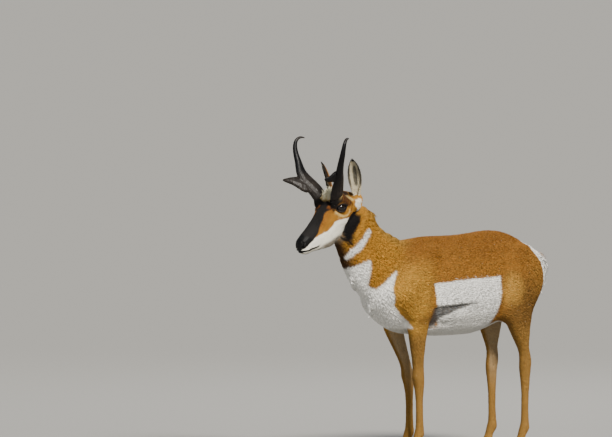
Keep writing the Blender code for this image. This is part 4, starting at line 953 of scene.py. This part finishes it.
def unwrapOf(at):
    # where a root lies on an unwrap of the skin: its island, and 0 to 1 both ways
    x, y, z = at.x, at.y, at.z
    island = (y < 0).astype(int)
    u = (x + 0.09 * at.normals[:, 0] + 0.36) / 1.08
    v = 0.5 + np.arctan2(z - 0.68, at.side) / math.pi
    neck = at.on("neck")
    island[neck] += 2
    u[neck] = (at.up[neck] + 0.06) / 0.42
    v[neck] = at.turn[neck] / 180
    face = at.on("head")
    island[face] = 4 + (at.hy[face] < 0)
    front = at.normals @ np.array(headPlace.to_3x3())[:, 0]
    u[face] = (at.hx[face] + 0.03 * front[face] + 0.30) / 0.46
    v[face] = 0.5 + np.arctan2(at.hz[face] + 0.02, at.mid[face]) / math.pi
    for count, name in enumerate(legNodes):
        on = at.on(name)
        if on.any():
            angle = np.arctan2(y[on] - legMiddle(z[on], y[on]), x[on] - legMiddle(z[on], x[on]))
            island[on] = 6 + count
            u[on] = 0.5 + angle / (2 * math.pi)
            v[on] = z[on] / 0.80
    on = at.on("tail")
    island[on] = 10
    u[on] = 0.5 + np.arctan2(y[on], x[on] - 0.58) / (2 * math.pi)
    v[on] = (z[on] - 0.60) / 0.30
    for count, name in enumerate(("left", "right")):
        on = at.on("ear_" + name)
        spot = earMeasures(at.points[on], at.normals[on], name)
        island[on] = 11 + 2 * count + (spot["facing"] > 0)
        u[on] = spot["along"]
        v[on] = 0.5 + spot["across"] / 0.07
    return island, np.clip(u, 0, 1), np.clip(v, 0, 1)


def drawRoots(draw):
    # spreads the roots evenly over the skin's triangles
    triangles = np.empty(len(mesh.polygons) * 3, np.int32)
    mesh.polygons.foreach_get("vertices", triangles)
    triangles = triangles.reshape(-1, 3)
    a, b, c = (skinSpots.points[triangles[:, k]] for k in range(3))
    areas = np.linalg.norm(np.cross(b - a, c - a), axis=1) / 2
    total = np.cumsum(areas * coatSizes(skinSpots)[triangles, 3].min(axis=1))
    number = coatLook["number"] // 1
    marks = (np.arange(number) + draw.uniform(0.1, 0.9, number)) * total[-1] / number
    chosen = np.minimum(np.searchsorted(total, marks), len(triangles) - 1)
    p, q = draw.random((2, number))
    flip = p + q > 1
    p[flip], q[flip] = 1 - p[flip], 1 - q[flip]
    share = np.stack([1 - p - q, p, q], axis=1)[:, :, None]
    corner = triangles[chosen]
    roots = (skinSpots.points[corner] * share).sum(axis=1)
    normals = (skinSpots.normals[corner] * share).sum(axis=1)
    normals /= np.linalg.norm(normals, axis=1, keepdims=True)
    return Spots(roots, normals, skinRegions[corner[:, 0]])


def turnedBy(lie, normals, angle):
    return lie * np.cos(angle)[:, None] + np.cross(normals, lie) * np.sin(angle)[:, None]


def tuftShapes(roots, draw):
    # seven corners a tuft: three at the root, three half way and the tip
    number, normals = len(roots.points), roots.normals
    sizes = coatSizes(roots)
    poll = roots.fade("pollHair")
    swing = draw.normal(0, 0.16, number) + roots.ripple(0.10, 11) * 0.12
    lie = turnedBy(turnedBy(lieOfCoat(roots), normals, swing), normals, swing * poll * 2)
    side = np.cross(normals, lie)
    length = sizes[:, 0] * draw.uniform(0.75, 1.2, number) * (1 - 0.45 * poll * draw.random(number))
    length = length[:, None]
    width = (sizes[:, 1] * draw.uniform(0.8, 1.15, number))[:, None]
    lift = (sizes[:, 2] * draw.uniform(0.6, 1.5, number))[:, None]
    start = roots.points - normals * coatLook["sink"] - lie * length * 0.12
    middle = start + lie * length * 0.52 + normals * length * 0.62 * np.sin(lift)
    bend = draw.normal(0, 0.06, number)[:, None]
    tip = start + lie * length * np.cos(lift) + normals * length * np.sin(lift) * 0.86 + side * length * bend
    thick = width * coatLook["thickness"]
    return np.stack([start - side * width * 0.42, start + side * width * 0.42, start + normals * thick * 0.9,
                     middle - side * width * 0.46, middle + side * width * 0.46, middle + normals * thick,
                     tip], axis=1)


tuftFaces = np.array([(0, 2, 1), (0, 1, 4), (0, 4, 3), (1, 2, 5), (1, 5, 4), (2, 0, 3), (2, 3, 5),
                      (3, 4, 6), (4, 5, 6), (5, 3, 6)])
tuftPatch = np.array([(-0.0012, -0.0013), (0.0012, -0.0013), (0.0, -0.0010), (-0.0012, 0.0002),
                      (0.0012, 0.0002), (0.0, 0.0004), (0.0, 0.0014)])


def tuftPiece(name, corners, colours, places, material):
    number, most = corners.shape[:2]
    piece = bpy.data.meshes.new(name)
    piece.vertices.add(number * most)
    piece.vertices.foreach_set("co", corners.astype(np.float32).ravel())
    faces = (tuftFaces[None] + (np.arange(number) * most)[:, None, None]).reshape(-1)
    piece.loops.add(len(faces))
    piece.loops.foreach_set("vertex_index", faces.astype(np.int32))
    piece.polygons.add(len(faces) // 3)
    piece.polygons.foreach_set("loop_start", np.arange(0, len(faces), 3, dtype=np.int32))
    piece.update(calc_edges=True)
    colourAttribute(piece, colours.reshape(-1, 3))
    layer = piece.uv_layers.new(name="OFBake")
    spots = (places[:, None, :] + tuftPatch[None]).reshape(-1, 2)[faces]
    layer.data.foreach_set("uv", spots.astype(np.float32).ravel())
    piece.shade_smooth()
    piece.materials.append(material)
    obj = inScene(bpy.data.objects.new(name, piece))
    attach(obj, "root")


def makeCoatMaterial():
    material, shader, place = newMaterial("coatHair", roughness=0.60, shine=0.14)
    grain = place.noise(900.0, 2.0)
    feed(shader, "Base Color", scaled(place.attribute("coat"), grain * 0.5 + 0.75))
    feed(shader, "Normal", grain.bump(0.25, 0.0004))
    return material


def tuftColours(roots, corners, draw):
    # each tuft takes its middle's colour, and leans to its own place at the root and the tip
    number = len(corners)
    spots = [corners[:, :3].mean(axis=1), corners[:, 3:5].mean(axis=1), corners[:, 6]]
    levels = [coatColours(Spots(spot, roots.normals, roots.regions)) for spot in spots]
    base = levels[1]
    own = 0.85 * (1 - roots.fade("pollHair"))[:, None]
    low, middle, high = (base * (1 - own) + level * own for level in levels)
    light = draw.normal(1.0, 0.10, number) + roots.ripple(0.03, 12) * 0.05
    pale = smoothStep(0.35, 0.65, base[:, 1])
    light = 1 + (light - 1) * (1 - 0.55 * pale)
    warm = 1 + draw.normal(0, 0.05, number) * (1 - pale)
    change = light[:, None] * np.stack([warm, np.ones(number), 1 / warm], axis=1)
    # painted shade and light: each tuft darker at the root, where the coat shades it, and a little lighter at
    # the tip
    rootShadeTipLight = np.stack([0.70 + 0.18 * pale] * 3 + [np.ones(number)] * 3 + [1.10 - 0.04 * pale], axis=1)
    colours = np.stack([low] * 3 + [middle] * 3 + [high], axis=1) * change[:, None, :]
    return np.clip(colours * rootShadeTipLight[:, :, None], 0, coatLook["brightest"])


# the islands of each piece, and whether it is the rear or the front part of them
coatPieces = {
    "coatFlankLeft": ((1,), False), "coatFlankRight": ((0,), False), "coatHipLeft": ((1,), True),
    "coatHipRight": ((0,), True), "coatNeckLeft": ((3,), None), "coatNeckRight": ((2,), None),
    "coatHeadLeft": ((5,), None), "coatHeadRight": ((4,), None), "coatForelegs": ((6, 7), None),
    "coatHindlegs": ((8, 9), None), "coatTailAndEars": ((10, 11, 12, 13, 14), None),
}


def spread(values):
    # 0 to 1 over the range of the values
    return (values - values.min()) / max(values.max() - values.min(), 1e-6)


def makeCoat():
    draw = np.random.default_rng(coatLook["seed"])
    roots = drawRoots(draw)
    corners = tuftShapes(roots, draw)
    colours = tuftColours(roots, corners, draw)
    island, u, v = unwrapOf(roots)
    rear = roots.x > 0.20
    material = makeCoatMaterial()
    for name, (islands, atRear) in coatPieces.items():
        chosen = np.nonzero(np.isin(island, islands) & (True if atRear is None else rear == atRear))[0]
        if not len(chosen):
            continue
        kinds = np.unique(island[chosen])
        columns = math.ceil(math.sqrt(len(kinds)))
        rows = math.ceil(len(kinds) / columns)
        slot = np.searchsorted(kinds, island[chosen])
        places = np.stack([(slot % columns + 0.03 + 0.94 * spread(u[chosen])) / columns,
                           (slot // columns + 0.03 + 0.94 * spread(v[chosen])) / rows], axis=1)
        # a big group is cut into strips along the body, each under the limit
        shares = math.ceil(len(chosen) / coatLook["most"])
        order = np.argsort(roots.points[chosen, 0], kind="stable")
        for count, strip in enumerate(np.array_split(order, shares)):
            title = name if shares == 1 else name + str(count + 1)
            tuftPiece(title, corners[chosen[strip]], colours[chosen[strip]], places[strip], material)
            print(title, len(strip))


makeCoat()
print("coat finished")


eyeLook = {
    "radius": 0.02235, "bulge": 0.0007, "front": 0.80, "iris": (0.010, 0.004, 0.002),
    "pupil": (0.002, 0.002, 0.002), "white": (0.020, 0.013, 0.010),
    # rings from the middle out: the tone, and where it starts and is full
    "rings": (("iris", 0.0052, 0.0066), ("pupil", 0.0098, 0.0122), ("white", 0.0150, 0.0175)),
    "lidWidth": 0.00135, "lidTones": ((0.010, 0.008, 0.007), (0.030, 0.022, 0.018)),
}


def lidPoint(angle):
    # a place on the almond of the opening, as (towards the muzzle, up)
    a = math.cos(angle) * eyeShape["half"]
    tall = eyeShape["rise"] if math.sin(angle) > 0 else eyeShape["drop"]
    b = math.copysign(abs(math.sin(angle)) ** eyeShape["corner"] * tall, math.sin(angle))
    return a, b - eyeShape["tilt"] * a


def placedPiece(obj, place):
    obj.data.transform(place)
    if place.determinant() < 0:
        obj.data.flip_normals()
    obj.data.update()


def makeEye(side, word):
    bm = bmesh.new()
    bmesh.ops.create_uvsphere(bm, u_segments=64, v_segments=40, radius=eyeLook["radius"])
    bmesh.ops.rotate(bm, verts=bm.verts, matrix=Matrix.Rotation(math.pi / 2, 3, "Y"))
    for v in bm.verts:
        front = max(v.co.x / eyeLook["radius"] - eyeLook["front"], 0) / (1 - eyeLook["front"])
        v.co *= 1 + eyeLook["bulge"] / eyeLook["radius"] * front * (2 - front)
    eye = meshFrom("eyeball_" + word, bm)
    spots = pointsOf(eye.data)
    across = np.hypot(spots[:, 1] / 1.25, spots[:, 2])
    tones = Layers("pupil", len(spots), eyeLook)
    for name, start, full in eyeLook["rings"]:
        tones.lay(name, smoothStep(start, full, across))
    colourAttribute(eye.data, tones.rows)
    material, shader, place = newMaterial("eyeGloss_" + word, roughness=0.08, shine=0.1, coat=0.7)
    shader.inputs["Coat Roughness"].default_value = 0.03
    feed(shader, "Base Color", scaled(place.attribute("coat"), place.noise(700.0, 2.0) * 0.8 + 0.6))
    eye.data.materials.append(material)
    eye.data.shade_smooth()
    placedPiece(eye, eyePlace(side))
    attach(eye, "root")
    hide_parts("eye_" + word)


def makeLids(side, word):
    # a bare dark rim along both lids, thicker above
    curve = bpy.data.curves.new("lidPath", "CURVE")
    curve.dimensions = "3D"
    curve.bevel_depth = eyeLook["lidWidth"]
    curve.bevel_resolution = 3
    outline = [lidPoint(2 * math.pi * k / 56) for k in range(56)]
    path = curve.splines.new("POLY")
    path.points.add(len(outline) - 1)
    path.use_cyclic_u = True
    radius = eyeShape["lid"] - 0.0013
    for point, (a, b) in zip(path.points, outline):
        x = math.sqrt(max(radius ** 2 - a * a - b * b, 1e-8))
        point.co = (x, a, b, 1)
        point.radius = 1.35 if b > 0 else 0.95
    shape = inScene(bpy.data.objects.new("lidPath", curve))
    graph = bpy.context.evaluated_depsgraph_get()
    rim = bpy.data.meshes.new_from_object(shape.evaluated_get(graph))
    bpy.data.objects.remove(shape)
    obj = inScene(bpy.data.objects.new("lids_" + word, rim))
    bm = bmesh.new()
    bm.from_mesh(rim)
    bmesh.ops.remove_doubles(bm, verts=bm.verts, dist=1e-6)
    bmesh.ops.recalc_face_normals(bm, faces=bm.faces)
    bm.to_mesh(rim)
    bm.free()
    placedPiece(obj, eyePlace(side))
    material, shader, place = newMaterial("lidSkin_" + word, roughness=0.42, shine=0.25)
    wrinkle = place.noise(520.0, 4.0)
    feed(shader, "Base Color", wrinkle.tint(*eyeLook["lidTones"]))
    feed(shader, "Normal", wrinkle.bump(0.5, 0.0006))
    rim.materials.clear()
    rim.materials.append(material)
    rim.shade_smooth()
    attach(obj, "root")


lashLook = {"number": 46, "length": 0.0115, "width": 0.00055, "seed": 31, "from": 18, "over": 138,
            "tone": (0.006, 0.005, 0.005)}


def makeLashMaterial():
    material, shader, place = newMaterial("lashHair", roughness=0.5, shine=0.2)
    feed(shader, "Base Color", scaled(place.attribute("coat"), place.noise(800.0, 2.0) + 0.5))
    return material


def makeLashes(side, word, material):
    draw = np.random.default_rng(lashLook["seed"] + side)
    place = eyePlace(side)
    corners = []
    for k in range(lashLook["number"]):
        share = (k + draw.uniform(-0.3, 0.3)) / lashLook["number"]
        angle = math.radians(lashLook["from"] + lashLook["over"] * share)
        a, b = lidPoint(angle)
        root = np.array((math.sqrt((eyeShape["lid"] - 0.0008) ** 2 - a * a - b * b), a, b))
        way = np.array((0.90, math.cos(angle) * 0.55, 0.10 + 0.25 * math.sin(angle)))
        way /= np.linalg.norm(way)
        length = lashLook["length"] * draw.uniform(0.7, 1.1) * (0.65 + 0.35 * math.sin(angle))
        across = np.cross(way, (0, 0, 1))
        across /= np.linalg.norm(across)
        over = np.cross(across, way)
        w = lashLook["width"]
        middle = root + way * length * 0.55 - over * 0.0006
        tip = root + way * length + over * 0.0016
        corners.append([root - across * w, root + across * w, root + over * w * 1.4,
                        middle - across * w * 0.7, middle + across * w * 0.7, middle + over * w, tip])
    corners = np.array(corners) @ np.array(place.to_3x3()).T + np.array(place.translation)
    if side < 0:
        corners = corners[:, [1, 0, 2, 4, 3, 5, 6]]
    tones = np.tile(lashLook["tone"], (corners.shape[0] * corners.shape[1], 1))
    count = np.arange(len(corners)) / len(corners)
    places = np.stack([0.05 + 0.9 * count, np.full(len(count), 0.5)], axis=1)
    tuftPiece("lashes_" + word, corners, tones, places, material)


hornLook = {
    "voxel": 0.0013, "smooth": 14, "triangles": 22000, "ridge": 0.0008, "dark": (0.0024, 0.0022, 0.0024),
    "foot": (0.016, 0.012, 0.010), "worn": (0.022, 0.017, 0.013), "bare": (0.090, 0.082, 0.070),
    "tip": (0.030, 0.026, 0.024),
}


def sheath(name, word):
    # a horn's smooth keratin sheath: lengthwise ridges low down, polished above
    obj = meshFrom("sheath_" + word, welded(name))
    addModifier(obj, "REMESH", mode="VOXEL", voxel_size=hornLook["voxel"])
    addModifier(obj, "SMOOTH", factor=0.5, iterations=hornLook["smooth"])
    settled(obj)
    addModifier(obj, "DECIMATE", ratio=min(hornLook["triangles"] / trianglesOf(obj.data), 1.0))
    settled(obj)
    piece = obj.data
    points, normals = pointsOf(piece), normalsOf(piece)
    low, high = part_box(name)
    height = (points[:, 2] - low[2]) / (high[2] - low[2])
    turned = np.arctan2(normals[:, 1], normals[:, 0])
    rough = smoothStep(0.62, 0.10, height)
    stripes = np.sin(turned * 17 + ripple(points, 0.05, 41) * 3) * 0.5
    stripes = stripes + ripple(points * (1, 1, 0.25), 0.010, 42) * 0.5
    lumps = ripple(points, 0.016, 43)
    setPoints(piece, points + normals * (hornLook["ridge"] * rough * (stripes * 0.6 + lumps * 0.5))[:, None])
    tones = Layers("dark", len(points), hornLook)
    # the right horn's lower half is laid brown-grey with pale specks: partly its rough worn base, partly
    # painted light where the light falls on that horn
    if word == "right":
        worn = smoothStep(0.50, 0.34, height) * 0.75
        tones.lay("worn", worn * (0.7 + 0.3 * stripes))
        tones.lay("bare", worn * smoothStep(0.35, 0.75, lumps * stripes) * 0.6)
    else:
        tones.lay("foot", smoothStep(0.4, 0.1, height) * (0.5 + 0.4 * stripes))
    tones.lay("tip", smoothStep(0.90, 0.99, height) * 0.7)
    colourAttribute(piece, np.clip(tones.rows, 0.002, 1))
    material, shader, place = newMaterial("keratin_" + word, roughness=0.30, shine=0.16)
    streak = place.mapped((1, 1, 0.12)).noise(260.0, 4.0)
    speck = place.noise(90.0, 5.0)
    feed(shader, "Base Color", scaled(place.attribute("coat"), streak * 0.9 + speck * 0.6 + 0.35))
    feed(shader, "Roughness", speck * 0.25 + streak * 0.12 + 0.22)
    feed(shader, "Normal", (streak + speck * 0.5).bump(0.55, 0.0009))
    piece.materials.clear()
    piece.materials.append(material)
    piece.shade_smooth()
    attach(obj, "root")
    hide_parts(name)


clawLook = {"voxel": 0.0011, "smooth": 10, "ratio": 0.35, "ring": 0.00025, "ringEvery": 0.0042,
            "flat": 0.0012, "tones": ((0.010, 0.009, 0.008), (0.055, 0.046, 0.038))}


def makeClaws():
    material, shader, place = newMaterial("clawKeratin", roughness=0.45, shine=0.3)
    rings = place.mapped((0.15, 0.15, 1)).noise(520.0, 3.0)
    grain = place.noise(240.0, 4.0)
    feed(shader, "Base Color", rings.tint(*clawLook["tones"]))
    feed(shader, "Normal", (rings + grain * 0.4).bump(0.6, 0.0007))
    for name in sorted(nodes):
        if not name.startswith("hoof_"):
            continue
        obj = meshFrom("claw_" + name[5:], welded(name))
        addModifier(obj, "REMESH", mode="VOXEL", voxel_size=clawLook["voxel"])
        addModifier(obj, "SMOOTH", factor=0.5, iterations=clawLook["smooth"])
        addModifier(obj, "DECIMATE", ratio=clawLook["ratio"])
        settled(obj)
        points, normals = pointsOf(obj.data), normalsOf(obj.data)
        ridges = np.sin(points[:, 2] * 2 * math.pi / clawLook["ringEvery"]) * clawLook["ring"]
        points += normals * (ridges * smoothStep(0.002, 0.006, points[:, 2]))[:, None]
        points[points[:, 2] < clawLook["flat"], 2] = 0.0
        setPoints(obj.data, points)
        obj.data.materials.clear()
        obj.data.materials.append(material)
        obj.data.shade_smooth()
        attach(obj, "root")
        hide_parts(name)


lashMaterial = makeLashMaterial()
for side, word in ((1, "left"), (-1, "right")):
    makeEye(side, word)
    makeLids(side, word)
    makeLashes(side, word, lashMaterial)
    sheath("horn_" + word, word)
makeClaws()
print("eyes, horns and claws finished")


def setStage():
    floorLook = {"half": 260.0, "tones": ((0.290, 0.285, 0.265), (0.330, 0.325, 0.305))}
    bm = bmesh.new()
    bmesh.ops.create_grid(bm, x_segments=4, y_segments=4, size=floorLook["half"])
    floor = meshFrom("floor", bm)
    material, shader, place = newMaterial("floorPaint", roughness=0.8)
    feed(shader, "Base Color", place.noise(60.0, 4.0).tint(*floorLook["tones"]))
    floor.data.materials.append(material)


lightLook = {
    # direction towards each light, strength, and its softness or size
    "key": {"way": (-0.22, -1.0, 0.85), "power": 7.2, "soft": 14.0, "tone": (1.0, 0.955, 0.89)},
    "fill": {"way": (-1.0, -0.45, 0.35), "power": 24.0, "size": 3.0, "tone": (0.93, 0.96, 1.0)},
    "rim": {"way": (0.9, 0.9, 0.9), "power": 60.0, "size": 2.5, "tone": (1.0, 1.0, 1.0)},
    "sky": {"tone": (0.86, 0.91, 1.0), "power": 0.30},
}


def setLights():
    for name in ("key", "fill", "rim"):
        look = lightLook[name]
        data = bpy.data.lights.new(name, "SUN" if "soft" in look else "AREA")
        data.energy = look["power"]
        data.color = look["tone"]
        if "soft" in look:
            data.angle = math.radians(look["soft"])
        else:
            data.shape = "DISK"
            data.size = look["size"]
        lamp = inScene(bpy.data.objects.new(name, data))
        way = Vector(look["way"]).normalized()
        lamp.location = Vector((0, 0, 0.7)) + way * 5.0
        lamp.rotation_euler = way.to_track_quat("Z", "Y").to_euler()
    world = bpy.data.worlds.new("studio")
    bpy.context.scene.world = world
    world.use_nodes = True
    sky = world.node_tree.nodes["Background"]
    sky.inputs["Color"].default_value = (*lightLook["sky"]["tone"], 1)
    sky.inputs["Strength"].default_value = lightLook["sky"]["power"]


setStage()
setLights()
